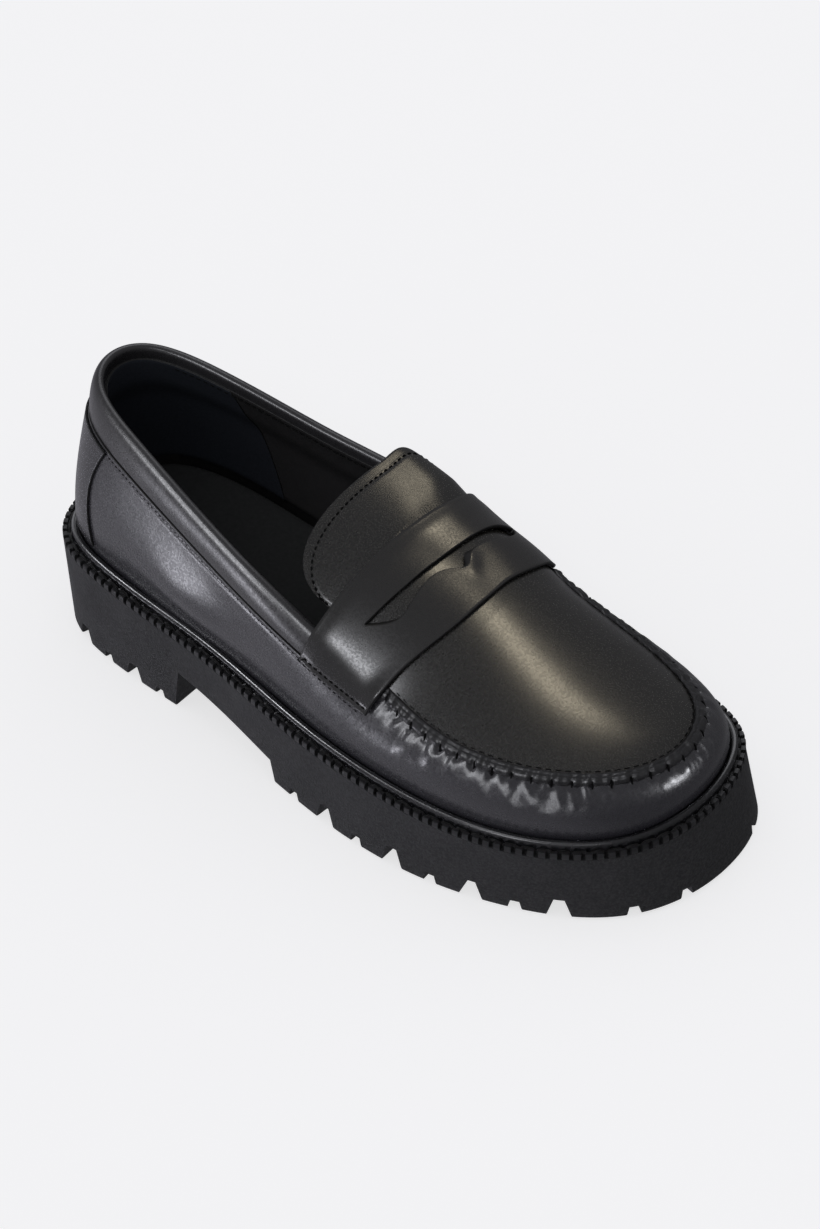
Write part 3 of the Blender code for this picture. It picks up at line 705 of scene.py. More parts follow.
def cloth(name, dark, light, roughness, scale):
    """Suede, sock lining or thread: short matte nap."""
    material, tree, surface, place = shader(name, dark, roughness, specular=0.15)
    nap = noise(tree, place, scale, Detail=5.0, Roughness=0.7)
    fill(tree, surface, Base_Color=tint(tree, nap, dark, light), Normal=bump(tree, nap, 0.25, 0.6))
    return material


# Painted light colour: the vamp leather is tinted slightly violet for the cool side light and the apron
# leather slightly warm for the warm overhead light; both are the same near-black leather.
VAMP = leather("vamp leather painted cool light", (0.0065, 0.0062, 0.0078), (0.0125, 0.012, 0.0142), 0.28, 0.22, crumple=0.8)
APRON = leather("apron leather painted warm light", (0.0078, 0.0075, 0.0066), (0.013, 0.0125, 0.011), 0.27, 0.1,
                grain=0.32, undulation=0.3)
STRAP_SKIN = leather("strap leather", (0.0078, 0.0075, 0.0073), (0.013, 0.0125, 0.0122), 0.27, 0.12,
                     grain=0.65, undulation=0.3, crumple=0.15)
COLLAR_SKIN = leather("collar leather", (0.008, 0.0077, 0.0083), (0.0135, 0.013, 0.0138), 0.30, 0.15,
                      crumple=0.4)
SEAM_SKIN = leather("seam leather", (0.0036, 0.0035, 0.004), (0.007, 0.0068, 0.0075), 0.33, 0.1,
                    undulation=0.6, crumple=0.4)
LINING_SKIN = leather("lining leather", (0.015, 0.0143, 0.0147), (0.026, 0.0253, 0.0253), 0.5, 0.0)
PAINT = leather("edge paint", (0.0022, 0.0022, 0.0022), (0.004, 0.004, 0.004), 0.5, 0.0)
SUEDE = cloth("heel lining suede", (0.0105, 0.0125, 0.0165), (0.0215, 0.0245, 0.0315), 0.9, 900.0)
SOCK = cloth("insole sock", (0.0138, 0.0143, 0.0141), (0.0315, 0.0326, 0.0322), 0.85, 600.0)
SOLE = rubber("sole rubber", (0.0075, 0.0075, 0.0082), (0.021, 0.021, 0.0225), 0.66, speckle=1.0)
BEAD = rubber("welt bead rubber", (0.005, 0.005, 0.0056), (0.0085, 0.0085, 0.0095), 0.26, 0.3)
RIM = rubber("welt rim rubber", (0.007, 0.007, 0.0077), (0.013, 0.013, 0.014), 0.5)
# Painted shade: near-black rubber for the faces inside the welt's tooth gaps, so the gaps read as shaded
# recesses.
RIM_GAP_SHADE = rubber("welt gap painted shade", (0.0010, 0.0010, 0.0011), (0.0022, 0.0022, 0.0024), 0.85)
THREAD = cloth("thread", (0.0012, 0.0012, 0.0012), (0.0035, 0.0035, 0.0035), 0.8, 2500.0)
THREAD_LIGHT = cloth("waxed thread", (0.008, 0.008, 0.008), (0.018, 0.018, 0.018), 0.5, 2500.0)

# Stitches by kind: length, pitch, radius, rise, sink, thread
STITCHES = {
    "welt":          (5.4, 5.9, 0.62, 0.15, 0.7, THREAD_LIGHT),
    "collar seam":   (1.5, 2.2, 0.15, -0.06, 0.25, THREAD),
    "apron":         (2.6, 3.3, 0.24, -0.12, 0.3, THREAD),
    "topline":       (2.0, 2.8, 0.28, 0.05, 0.3, THREAD),
    "tongue":        (1.6, 2.5, 0.32, -0.12, 0.35, THREAD),
    "strap":         (1.7, 2.4, 0.24, -0.1, 0.3, THREAD),
    "strap quarter": (1.7, 2.4, 0.24, -0.02, 0.3, THREAD),
    "strap bar":     (1.7, 2.3, 0.24, 0.1, 0.3, THREAD),
}


# Sole

SOLE_STEPS = 480
SOLE_SHARP = 28.0
FOOT_ROUND = 1.4
FOOT_INSETS = (18.0, 4.0, FOOT_ROUND)
SIDE_ROWS = 10
TOP_INSETS = (0.5, 5.0)
TOP_ROUND = 0.25
BOX = quads(np.arange(8).reshape(2, 4), closed=True).tolist() + [[0, 1, 2, 3], [4, 5, 6, 7]]


def around(count):
    """Stations evenly spaced round the sole's edge."""
    return station_at(np.arange(count) * DISTANCE[-1] / count)


def make_outsole():
    """Rubber unit sole with its rounded foot, arch and notches."""
    station = around(SOLE_STEPS)
    top_lift = -FLANGE - GAP
    low, top = sole_foot(station, 0.0, FOOT_ROUND), sole_edge(station, 0.0, top_lift)
    rings = [sole_foot(station, -inset) for inset in FOOT_INSETS]
    for angle in np.radians((30, 60)):
        inset, lift = FOOT_ROUND * (1 - math.sin(angle)), FOOT_ROUND * (1 - math.cos(angle))
        rings.append(sole_foot(station, -inset, lift))
    rings += [low * (1 - share) + top * share for share in np.linspace(0, 1, SIDE_ROWS)]
    rings += [sole_edge(station, -inset, top_lift + TOP_ROUND) for inset in TOP_INSETS]
    sole = loft("outsole_rubber", rings, [SOLE], "outsole", sharp=SOLE_SHARP)
    cutters = [arch_block(), notch_blocks()]
    for cutter in cutters:
        cut = sole.modifiers.new(cutter.name, "BOOLEAN")
        cut.operation = "DIFFERENCE"
        cut.solver = "EXACT"
        cut.object = cutter
    bake(sole)
    for cutter in cutters:
        bpy.data.objects.remove(cutter, do_unlink=True)
    shade(sole.data, SOLE_SHARP)


def bake(piece):
    """The piece's mesh with its modifiers applied."""
    graph = bpy.context.evaluated_depsgraph_get()
    mesh = bpy.data.meshes.new_from_object(piece.evaluated_get(graph))
    piece.modifiers.clear()
    piece.data = mesh


def arch_block():
    """Space under the arch, from the heel's breast to the forefoot."""
    run = (FOREFOOT_X - WAIST_X) * ARCH_BELOW / WAIST_Z
    lean = (BREAST_TOP_X - BREAST_X) * ARCH_BELOW / BREAST_Z
    profile = ((BREAST_X - lean, -ARCH_BELOW), (BREAST_TOP_X, BREAST_Z), (WAIST_X, WAIST_Z),
               (FOREFOOT_X + run, -ARCH_BELOW))
    points = [(x, side * ARCH_REACH, z) for side in (-1, 1) for x, z in profile]
    return new_object("arch block", outward_mesh("arch block", points, BOX))


def notch_blocks():
    """Spaces of the notches on both sides of the sole, as one object."""
    points, faces = [], []
    table = column(NOTCHES, NOTCH_COLUMNS, *NOTCH_COLUMNS[1:])
    places = [(station_at(first + number * pitch), shape)
              for first, pitch, count, *shape in table for number in range(int(count))]
    for outer_station, (mouth, top, height, inwards) in places:
        for station in (outer_station, COUNT - outer_station):
            outward = rows_at(station)[1][0]
            foot = sole_foot(station)[0]
            run = np.array([-outward[1], outward[0], 0.0])
            profile = ((-mouth / 2, -NOTCH_BELOW), (mouth / 2, -NOTCH_BELOW), (top / 2, height),
                       (-top / 2, height))
            start = len(points)
            points += [foot + outward * reach + run * across + UP * rise
                       for reach in (NOTCH_OUTSIDE, -inwards) for across, rise in profile]
            faces += [tuple(start + corner for corner in face) for face in BOX]
    return new_object("notch blocks", outward_mesh("notch blocks", points, faces))


def wall_outset(station, lift):
    """How far inside the sole's edge the wall's face lies, at a height above the ledge."""
    values, outward = rows_at(station)
    heights, insets = [], []
    for share in np.linspace(0, 0.5, 26):
        face = wall(station, share)
        heights.append(face[:, 2] - values[:, 2])
        insets.append(np.sum((face - values[:, :3]) * outward, axis=1))
    heights, insets = np.array(heights), np.array(insets)
    return np.array([np.interp(lift, heights[:, i], insets[:, i]) for i in range(len(values))])


BEAD_STEPS = 720
BEAD_WIDTH = 3.0
BEAD_HEIGHT = 2.5
BEAD_ARC = np.radians(np.linspace(-10, 190, 13))
BEAD_BASE = 0.42
BEAD_TOUCH = 1.2
BEAD_CLEAR = 0.15
CHANNEL_FLOOR = -CHANNEL - 0.3
RIM_WIDTH = 1.8
RIM_FOOT = -FLANGE - GAP + 0.2
TEETH = 168
TOOTH_STEPS = np.array([0.0, 0.2, 0.4, 0.58, 0.64, 0.74, 0.84, 0.94])
TOOTH_SHARE = 0.6
TOOTH_COLUMNS = ("tooth_out", "tooth_up", "gap_out", "gap_up")
TOOTH = (
    (-1.9,  RIM_FOOT, -1.9,  RIM_FOOT),
    (0.0,   RIM_FOOT, 0.0,   RIM_FOOT),
    (0.05,  -1.9,     -0.1,  -2.0),
    (0.05,  -0.4,     -1.3,  -1.85),
    (-0.25, 0.05,     -1.42, -1.3),
    (-0.85, 0.1,      -1.5,  -1.0),
    (-1.6,  0.0,      -1.65, -0.9),
    (-1.9,  -0.35,    -1.9,  -0.85),
)
WELT_THREAD_STEPS = 900


def bead_foot(station):
    """Place of the bead's inner edge, clear of the wall."""
    return np.maximum(wall_outset(station, -FLANGE), wall_outset(station, BEAD_TOUCH)) + BEAD_CLEAR


def make_welt():
    """Glossy bead against the upper, stitched channel and toothed rim."""
    station = around(BEAD_STEPS)
    inner = bead_foot(station)
    rings = [sole_edge(station, inner, -FLANGE), sole_edge(station, -RIM_WIDTH, -FLANGE),
             sole_edge(station, -RIM_WIDTH, CHANNEL_FLOOR),
             sole_edge(station, inner + BEAD_WIDTH, CHANNEL_FLOOR)]
    for angle in BEAD_ARC:
        out = BEAD_WIDTH / 2 * (1 + math.cos(angle))
        rise = BEAD_HEIGHT * (BEAD_BASE + (1 - BEAD_BASE) * math.sin(angle))
        rings.append(sole_edge(station, inner + out, rise))
    loft("welt_bead", rings, [BEAD], "welt", closed_rows=True, sharp=50.0)

    gap = np.tile((TOOTH_STEPS > TOOTH_SHARE).astype(float), TEETH)
    place = np.repeat(np.arange(TEETH), len(TOOTH_STEPS)) + np.tile(TOOTH_STEPS, TEETH)
    station = station_at(place * DISTANCE[-1] / TEETH)
    rings = [sole_edge(station, out + (gap_out - out) * gap, up + (gap_up - up) * gap)
             for out, up, gap_out, gap_up in column(TOOTH, TOOTH_COLUMNS, *TOOTH_COLUMNS)]
    # Faces in the tooth gaps take the painted-shade material.
    shaded_gap = np.tile(np.maximum(gap, np.roll(gap, -1)), len(rings)).astype(int)
    loft("welt_teeth", rings, [RIM, RIM_GAP_SHADE], "welt_edge", closed_rows=True,
         indices=shaded_gap, sharp=40.0)

    station = np.append(around(WELT_THREAD_STEPS), COUNT)
    middle = (bead_foot(station) + BEAD_WIDTH - RIM_WIDTH) / 2
    path = sole_edge(station, middle, -CHANNEL + 0.1)
    stitch_row("welt_stitches", "welt", path, np.tile(UP, (len(path), 1)))


SOCK_STEPS = 240
SOCK_COLUMNS = ("inset", "rise")
SOCK_EDGE = (
    (0.0,  0.0),
    (0.0,  2.8),
    (0.4,  3.5),
    (1.2,  3.9),
    (3.0,  3.9),
    (8.0,  3.5),
    (16.0, 3.1),
)


def make_insole():
    """Sock with a rounded edge and a slightly dished middle."""
    station = around(SOCK_STEPS)
    edge = LEDGE + WALL + 2 * GAP
    rings = [sole_edge(station, -edge - inset, -FLANGE + rise)
             for inset, rise in column(SOCK_EDGE, SOCK_COLUMNS, *SOCK_COLUMNS)]
    loft("insole_sock", rings, [SOCK], "insole")


# Upper

COLLAR_LAP = 0.05
COLLAR_RUN = 0.25
SEAM_SAMPLES = 900
FIRST_STITCH = 8.0
LAST_STITCH = 6.0
PUCKER_DEPTH = 1.15
PUCKER_WIDTH = 1.5
PUCKER_FLANK = 0.6
WRINKLE_FLANK = 0.5
HOLE_SHARE = 0.88
HOLE_DEPTH = 0.35
HOLE_SPREAD = 0.8
SWELLING_EDGE = 0.06
FRONT_STEPS = 680
REAR_STEPS = 210
WALL_ROWS = 46
PUCKER_REACH = 4.2
COLLAR_SEAM_REACH = 4.9
COLLAR_SEAM_DROP = 1.5
COLLAR_SEAM_STEPS = 420
WALL_ROW_EASE = 1.45
SEAM_OVERLAP = 0.1


def quarter_top(station):
    """Share of the wall that the upper reaches: the collar's seam behind, the apron seam in front."""
    pair = np.abs(np.mod(station, COUNT) - TOE)
    blend = smooth((COLLAR_END + COLLAR_LAP - pair) / COLLAR_RUN)
    return band(station) * (1 - blend) + blend


def seam_places(count):
    """Stations evenly spaced along the apron seam, with their distances from its start."""
    rough = np.linspace(SEAM_FIRST, SEAM_LAST, SEAM_SAMPLES)
    length = arc_length(wall(rough, 1.0))
    place = np.linspace(0, length[-1], count)
    return np.interp(place, length, rough), place


def seam_stitches():
    """Distances of the hand stitches along the apron seam."""
    _, place = seam_places(2)
    return np.arange(FIRST_STITCH + STITCH_PITCH / 2, place[-1] - LAST_STITCH, STITCH_PITCH)


def trough(points, start, end, depth, width, flank):
    """Depth of a wrinkle between two places on the wall, with raised flanks, fading towards its end."""
    start, end = wall(*start)[0], wall(*end)[0]
    run = end - start
    share = np.clip((points - start) @ run / (run @ run), 0, 1)
    away = np.linalg.norm(points - start - share[:, None] * run, axis=1)
    wide = width * (0.6 + 0.8 * share)
    fade = (1 - share) ** 0.8 * np.clip(share / 0.25 + 0.2, 0, 1)
    return depth * fade * (np.exp(-(away / wide) ** 1.6) - flank * np.exp(-((away - 2.1 * wide) / wide) ** 2))


def pucker(points):
    """Depth of the vamp's puckers, fine wrinkles and stitch holes at points on its face."""
    depth = np.zeros(len(points))
    for start, end, end_share, deep, width in column(PUCKERS, PUCKER_COLUMNS, *PUCKER_COLUMNS):
        depth += trough(points, (start, 1.0), (end, end_share), PUCKER_DEPTH * deep, PUCKER_WIDTH * width,
                        PUCKER_FLANK)
    draw = np.random.default_rng(WRINKLE_SEED)
    table = column(WRINKLES, WRINKLE_COLUMNS, *WRINKLE_COLUMNS)
    for start in np.arange(SEAM_FIRST, SEAM_LAST, WRINKLE_STEP):
        chance, lean, length, deep, width = draw.random(5)
        if chance > np.interp(start, table[:, 0], table[:, 1]):
            continue
        end = start + 0.32 * (lean - 0.5), 0.76 - 0.36 * length
        depth += trough(points, (start, 1.0), end, 0.06 + 0.18 * deep, 0.36 + 0.26 * width, WRINKLE_FLANK)
    station, place = seam_places(SEAM_SAMPLES)
    for hole in wall(np.interp(seam_stitches(), place, station), HOLE_SHARE):
        depth += HOLE_DEPTH * np.exp(-np.sum((points - hole) ** 2, axis=1) / HOLE_SPREAD)
    return depth


def swelling(station, share, points):
    """Height of the quarters' soft swelling below the collar seam."""
    height = np.zeros(len(points))
    for place, level, high, length, breadth, lean in column(BULGES, BULGE_COLUMNS, *BULGE_COLUMNS):
        middle = wall(place, level)[0]
        up = unit(wall(place, level + 0.05)[0] - middle)
        run = unit(wall(place + 0.1, level)[0] - middle)
        offset = points - middle
        forward = offset @ run
        upward = offset @ up + lean * forward
        height += high * np.exp(-(forward / length) ** 2 - (upward / breadth) ** 2)
    return height * smooth((band(station) - share) / SWELLING_EDGE)


def make_wall():
    """Vamp wall and quarters, with the stitched groove below the collar's seam."""
    front_first, front_last = along(SEAM_FIRST - SEAM_OVERLAP), along(SEAM_LAST + SEAM_OVERLAP)
    rear_length = DISTANCE[-1] - front_last + front_first
    place = np.concatenate([np.linspace(front_first, front_last, FRONT_STEPS, endpoint=False),
                            front_last + np.linspace(0, rear_length, REAR_STEPS, endpoint=False)])
    station = np.mod(station_at(place), COUNT)
    rise = 1 - (1 - np.linspace(0, 1, WALL_ROWS)) ** WALL_ROW_EASE
    share = (rise[:, None] * quarter_top(station)[None, :]).ravel()
    station = np.tile(station, WALL_ROWS)
    points = wall(station, share)
    front = np.abs(station - TOE) < PUCKER_REACH
    depth = np.where(front, pucker(points), -swelling(station, share, points))
    grid = points.reshape(WALL_ROWS, -1, 3)
    normal = grid_normals(grid, closed=True)
    grid = grid - normal * depth.reshape(WALL_ROWS, -1)[..., None]
    rear = np.linspace(TOE + COLLAR_SEAM_REACH, TOE + COUNT - COLLAR_SEAM_REACH, COLLAR_SEAM_STEPS)
    below = band(rear) - COLLAR_SEAM_DROP / wall_span(rear, band(rear))
    path = wall(rear, below)
    grid = press(grid, normal, path, depth=0.18, width=0.6)
    solid_sheet("vamp_and_quarters", grid, grid_normals(grid, closed=True), WALL,
                [VAMP, PAINT, LINING_SKIN], "upper", bulge=0.25, closed=True)
    stitch_row("collar_seam_stitches", "collar seam", path, wall_normal(rear, below))


SOFT_ROWS = 5
SOFT_COLUMNS = 6
SOFT_RIM = 16.0
SOFT_END = 3.4
SOFT_FADE = 1.2
SOFT_LEAST = 0.8


def soft_heights(grid, pair):
    """Heights of the instep from local curved fits, so that the ridge runs out softly at the toe."""
    rows = np.arange(0, grid.shape[0], SOFT_ROWS)
    columns = np.arange(0, grid.shape[1], SOFT_COLUMNS)
    cloud = grid[::2, ::3]
    run, turn = np.gradient(cloud, axis=0), np.gradient(cloud, axis=1)
    area = np.abs(run[..., 0] * turn[..., 1] - run[..., 1] * turn[..., 0]).ravel() + 1e-6
    cloud = cloud.reshape(-1, 3)
    change = np.zeros((len(rows), len(columns)))
    for i, row in enumerate(rows):
        for j, place in enumerate(columns):
            x, y, z = grid[row, place]
            from_rim = np.hypot(*(grid[row, place, :2] - grid[0, place, :2]))
            reach = (SOFT_REACH * np.clip(from_rim / SOFT_RIM, 0, 1)
                     * np.clip((SOFT_END - pair[place]) / SOFT_FADE, 0, 1))
            if reach < SOFT_LEAST:
                continue
            dx, dy = cloud[:, 0] - x, cloud[:, 1] - y
            away = dx * dx + dy * dy
            near = away < (3 * reach) ** 2
            dx, dy = dx[near], dy[near]
            weight = np.sqrt(area[near] * np.exp(-away[near] / (2 * reach ** 2)))
            terms = np.column_stack([np.ones(len(dx)), dx, dy, dx * dx, dx * dy, dy * dy])
            fit = np.linalg.lstsq(terms * weight[:, None], cloud[near, 2] * weight, rcond=None)[0]
            change[i, j] = fit[0] - z
    down, right = np.arange(grid.shape[0]), np.arange(grid.shape[1])
    change = np.stack([np.interp(right, columns, line) for line in change])
    change = np.stack([np.interp(down, rows, line) for line in change.T], axis=1)
    return grid[..., 2] + change


APRON_HALF = 180
APRON_ROWS = 56


def make_apron():
    """Plug of the moccasin toe, one sheet from seam to seam, joined along the ridge."""
    across = np.linspace(-1, 1, 2 * APRON_HALF + 1)
    pair = np.abs(across) * (COLLAR_END + COLLAR_LAP)
    side = np.where(across < 0, -1.0, 1.0)
    grid = np.stack([apron(pair, side, share) for share in np.linspace(0, 1, APRON_ROWS)])
    grid[..., 2] = soft_heights(grid, pair)
    index = numbered(grid)
    index[-1, APRON_HALF + 1:] = index[-1, :APRON_HALF][::-1]
    faces = quads(index)
    if grid_normals(grid)[..., 2].mean() < 0:
        faces = faces[:, [0, 3, 2, 1]]
    mesh = bpy.data.meshes.new("apron")
    mesh.from_pydata((grid.reshape(-1, 3)[:-APRON_HALF] * MM).tolist(), [], faces.tolist())
    mesh.shade_smooth()
    piece = new_piece("apron_plug", mesh, [APRON, PAINT, LINING_SKIN], "upper")
    shell = piece.modifiers.new("thickness", "SOLIDIFY")
    shell.thickness = WALL * MM
    shell.offset = -1
    shell.material_offset = 2
    shell.material_offset_rim = 1
    bake(piece)


SEAM_STEPS = 680
SEAM_ENDS = 9.0
PINCH_WIDTH = 0.7
PINCH_DEPTH = 0.2
GROOVE_ACROSS = 0.28
GROOVE_WIDTH = 0.14
GROOVE_DEPTH = 0.35
LUMP_HEIGHT = 0.4
ROW_CUT = 20
SEAM_COLUMNS = ("across", "rise")
SEAM_PROFILE = (
    (-1.02, -0.9),
    (-1.1,  0.0),
    (-1.06, 0.6),
    (-0.9,  1.1),
    (-0.68, 1.45),
    (-0.42, 1.66),
    (-0.15, 1.74),
    (0.1,   1.7),
    (0.26,  1.52),
    (0.4,   1.46),
    (0.6,   1.42),
    (0.8,   1.2),
    (0.96,  0.75),
    (1.02,  0.1),
    (0.98,  -0.5),
    (0.0,   -0.9),
)
HAND_STITCH_COLUMNS = ("across", "rise", "radius")
HAND_STITCH = (
    (1.7,  -1.1, 0.15),
    (1.3,  -0.3, 0.3),
    (1.05, 0.4,  0.33),
    (0.75, 1.05, 0.33),
    (0.5,  1.25, 0.3),
    (0.3,  1.1,  0.15),
)


def make_seam():
    """Rolled moccasin seam, pinched at each hand stitch, with a stitched groove on the apron's side."""
    station, place = seam_places(SEAM_STEPS)
    middle = wall(station, 1.0)
    near = 0.1
    inner = unit(apron(np.abs(station - TOE), np.where(station < TOE, -1.0, 1.0), near) - middle)
    outer = unit(wall(station, 1 - near) - middle)
    lift = unit(np.cross(np.gradient(middle, axis=0), inner - outer))
    stitches = seam_stitches()
    phase = np.mod(place - stitches[0], STITCH_PITCH)
    pinch = np.exp(-(np.minimum(phase, STITCH_PITCH - phase) / PINCH_WIDTH) ** 2)
    ends = np.clip(np.minimum(place, place[-1] - place) / SEAM_ENDS, 0.12, 1)
    lumps = LUMP_HEIGHT * (0.5 * np.sin(place * 0.61 + 0.4) + 0.35 * np.sin(place * 1.13 + 1.0)
                           + 0.25 * np.sin(place * 1.9 + 2.0))
    crease = 0.5 + 0.5 * np.sin(place * 0.47 + 1.3) * np.sin(place * 0.19)
    rings = []
    for across, rise in column(SEAM_PROFILE, SEAM_COLUMNS, *SEAM_COLUMNS):
        squeeze = 1 - PINCH_DEPTH * pinch * np.clip(0.35 - across, 0, 1)
        sideways = (inner if across > 0 else outer) * (SEAM_HALF * abs(across)) * squeeze[:, None]
        groove = GROOVE_DEPTH * crease * math.exp(-((across - GROOVE_ACROSS) / GROOVE_WIDTH) ** 2)
        height = rise * squeeze * ends + (lumps - groove) * (rise > 0.5)
        rings.append(middle + sideways + lift * height[:, None])
    sweep("seam_roll", np.stack(rings, axis=1), SEAM_SKIN, "apron_seam")

    at = np.searchsorted(place, stitches)
    strands = np.stack([middle[at] + outer[at] * (SEAM_HALF * across) + lift[at] * rise
                        for across, rise, _ in HAND_STITCH], axis=1)
    ups = np.repeat(unit(lift[at] + 0.6 * outer[at])[:, None], len(HAND_STITCH), axis=1)
    radii = column(HAND_STITCH, HAND_STITCH_COLUMNS, "radius")
    tubes("seam_hand_stitches", strands, ups, radii, THREAD)
    row = middle + inner * (SEAM_HALF * 1.25) + lift * 0.1
    stitch_row("seam_apron_stitches", "apron", row[ROW_CUT:-ROW_CUT], lift[ROW_CUT:-ROW_CUT])


COLLAR_STEPS = 420
COLLAR_SIDES = 36
COLLAR_INSET = 0.03


def collar_share(station, rise):
    """Share of the wall at a rise between the collar's seam and its top."""
    low = band(station)
    return low + (1 - low) * rise


def make_collar():
    """Padded topline band, a rounded profile swept round the opening."""
    start = COLLAR_END + COLLAR_INSET
    station = np.linspace(TOE + start, TOE + COUNT - start, COLLAR_STEPS)
    profile = column(COLLAR, COLLAR_COLUMNS, "rise", "depth")
    outline = cubic(np.arange(len(profile)), profile, len(profile))
    sections = []
    for rise, depth in outline(np.linspace(0, len(profile), COLLAR_SIDES, endpoint=False)):
        share = collar_share(station, rise)
        sections.append(wall(station, share) - wall_normal(station, share) * depth)
    piece = sweep("collar_band", np.stack(sections, axis=1), COLLAR_SKIN, "collar")


LINING_GAP = 0.35
LINING_AT_COLLAR = 5.05
LINING_EASE = 0.22
LINING_FOOT = 0.1
LINING_ACROSS = 260
LINING_ROWS = 30
LINING_TOP = 0.68
LINING_THICKNESS = 0.4
LINING_FRONT = TOE - COLLAR_END - 0.1
LINING_COLUMNS = ("name", "reach_top", "reach_low", "extra", "skin")
LININGS = (
    ("lining_front", LINING_FRONT, LINING_FRONT, 0.0,  LINING_SKIN),
    ("lining_heel",  2.06,         2.46,         0.45, SUEDE),
)
TOPLINE_RISE = 0.56
TOPLINE_STEPS = 200
TOPLINE_EXTRA = 0.5
TOPLINE_FIRST = 1.3
TOPLINE_LAST = TOE - COLLAR_END - 0.05


def lining_face(station, share, extra):
    """Inside of the shoe: over the collar's inner face and down the wall."""
    ease = smooth((share - band(station) + LINING_EASE) / LINING_EASE)
    depth = (WALL + LINING_GAP) * (1 - ease) + LINING_AT_COLLAR * ease + extra
    return wall(station, share) - wall_normal(station, share) * depth[:, None]


def make_lining():
    """Leather lining of the vamp and suede heel lining over it, with the topline's inner stitches."""
    across = np.linspace(-1, 1, LINING_ACROSS)
    for row in LININGS:
        sheet = dict(zip(LINING_COLUMNS, row))
        grid = []
        for rise in np.linspace(0, 1, LINING_ROWS):
            reach = sheet["reach_low"] + (sheet["reach_top"] - sheet["reach_low"]) * rise
            station = across * reach
            share = LINING_FOOT + (collar_share(station, LINING_TOP) - LINING_FOOT) * rise
            grid.append(lining_face(station, share, sheet["extra"]))
        grid = np.stack(grid)
        solid_sheet(sheet["name"], grid, -grid_normals(grid), LINING_THICKNESS,
                    [sheet["skin"], PAINT, sheet["skin"]], bulge=0.1)
    rows = ((TOPLINE_FIRST, TOPLINE_LAST), (COUNT - TOPLINE_LAST, COUNT - TOPLINE_FIRST))
    for number, (first, last) in enumerate(rows, 1):
        station = np.linspace(first, last, TOPLINE_STEPS)
        share = collar_share(station, TOPLINE_RISE)
        path = lining_face(station, share, TOPLINE_EXTRA)
        stitch_row(f"topline_inner_stitches_{number}", "topline", path, -wall_normal(station, share))


STRIP_REACH = 1.62
STRIP_WAIST = 0.16
STRIP_FOOT = 0.1
STRIP_TOP = 0.985
STRIP_PROUD = 1.0
STRIP_THICKNESS = 0.95
STRIP_ACROSS = 150
STRIP_ROWS = 40


def make_back_strip():
    """Heel strip over the back of the quarters, narrower in its middle."""
    across = np.linspace(-1, 1, STRIP_ACROSS)
    grid = []
    for rise in np.linspace(0, 1, STRIP_ROWS):
        station = across * (STRIP_REACH - STRIP_WAIST * math.sin(math.pi * rise))
        share = STRIP_FOOT + (band(station) * STRIP_TOP - STRIP_FOOT) * rise
        grid.append(wall(station, share) + wall_normal(station, share) * STRIP_PROUD)
    grid = np.stack(grid)
    solid_sheet("heel_strip", grid, grid_normals(grid), STRIP_THICKNESS, [VAMP, PAINT, PAINT],
                "back_strip", bulge=0.12)


TONGUE_FRONT = 4.5
TONGUE_THICKNESS = 2.0
TONGUE_ACROSS = 181
TONGUE_ROWS = 70
TONGUE_BORDER = 8
ROW_NEAR = 4
ROW_INSET = 3.9
ROW_FIRST = 24
ROW_LAST = 42
ROW_SMOOTHING = 12


def evened(values, times):
    """Values drawn towards their neighbours a number of times, with the ends held."""
    for _ in range(times):
        values[1:-1] = (values[:-2] + 2 * values[1:-1] + values[2:]) / 4
    return values


def make_tongue():
    """Rear flap of the apron with a stitched edge."""
    across = np.sin(np.linspace(-1, 1, TONGUE_ACROSS) * math.pi / 2)
    side = np.where(across < 0, -1.0, 1.0)
    share = TONGUE_EDGE + (1 - TONGUE_EDGE) * (1 - np.abs(across))
    rounding = (1 - np.abs(across) ** TONGUE_SQUARENESS) ** TONGUE_ROUND
    rear = TONGUE_REACH - TONGUE_CORNER * (1 - rounding)
    grid = np.stack([apron(TONGUE_FRONT + (rear - TONGUE_FRONT) * part, side, share)
                     for part in np.linspace(0, 1, TONGUE_ROWS)])
    normal = upward_normals(grid)
    normal[:, :TONGUE_BORDER] = normal[:, TONGUE_BORDER, None]
    normal[:, -TONGUE_BORDER:] = normal[:, -TONGUE_BORDER - 1, None]
    border = np.concatenate([grid[ROW_FIRST:, 0], grid[-1, 1:-1], grid[ROW_LAST:, -1][::-1]])
    inside = np.concatenate([grid[ROW_FIRST:, ROW_NEAR], grid[-1 - ROW_NEAR, 1:-1],
                             grid[ROW_LAST:, -1 - ROW_NEAR][::-1]])
    row = evened(border + unit(inside - border) * ROW_INSET, ROW_SMOOTHING)
    row, ups = seat(row, grid, normal)
    grid = press(grid, normal, row, depth=0.3, width=0.7)
    solid_sheet("tongue_flap", grid, normal, TONGUE_THICKNESS, [APRON, PAINT, LINING_SKIN],
                "tongue", bulge=0.45)
    stitch_row("tongue_stitches", "tongue", row, ups)


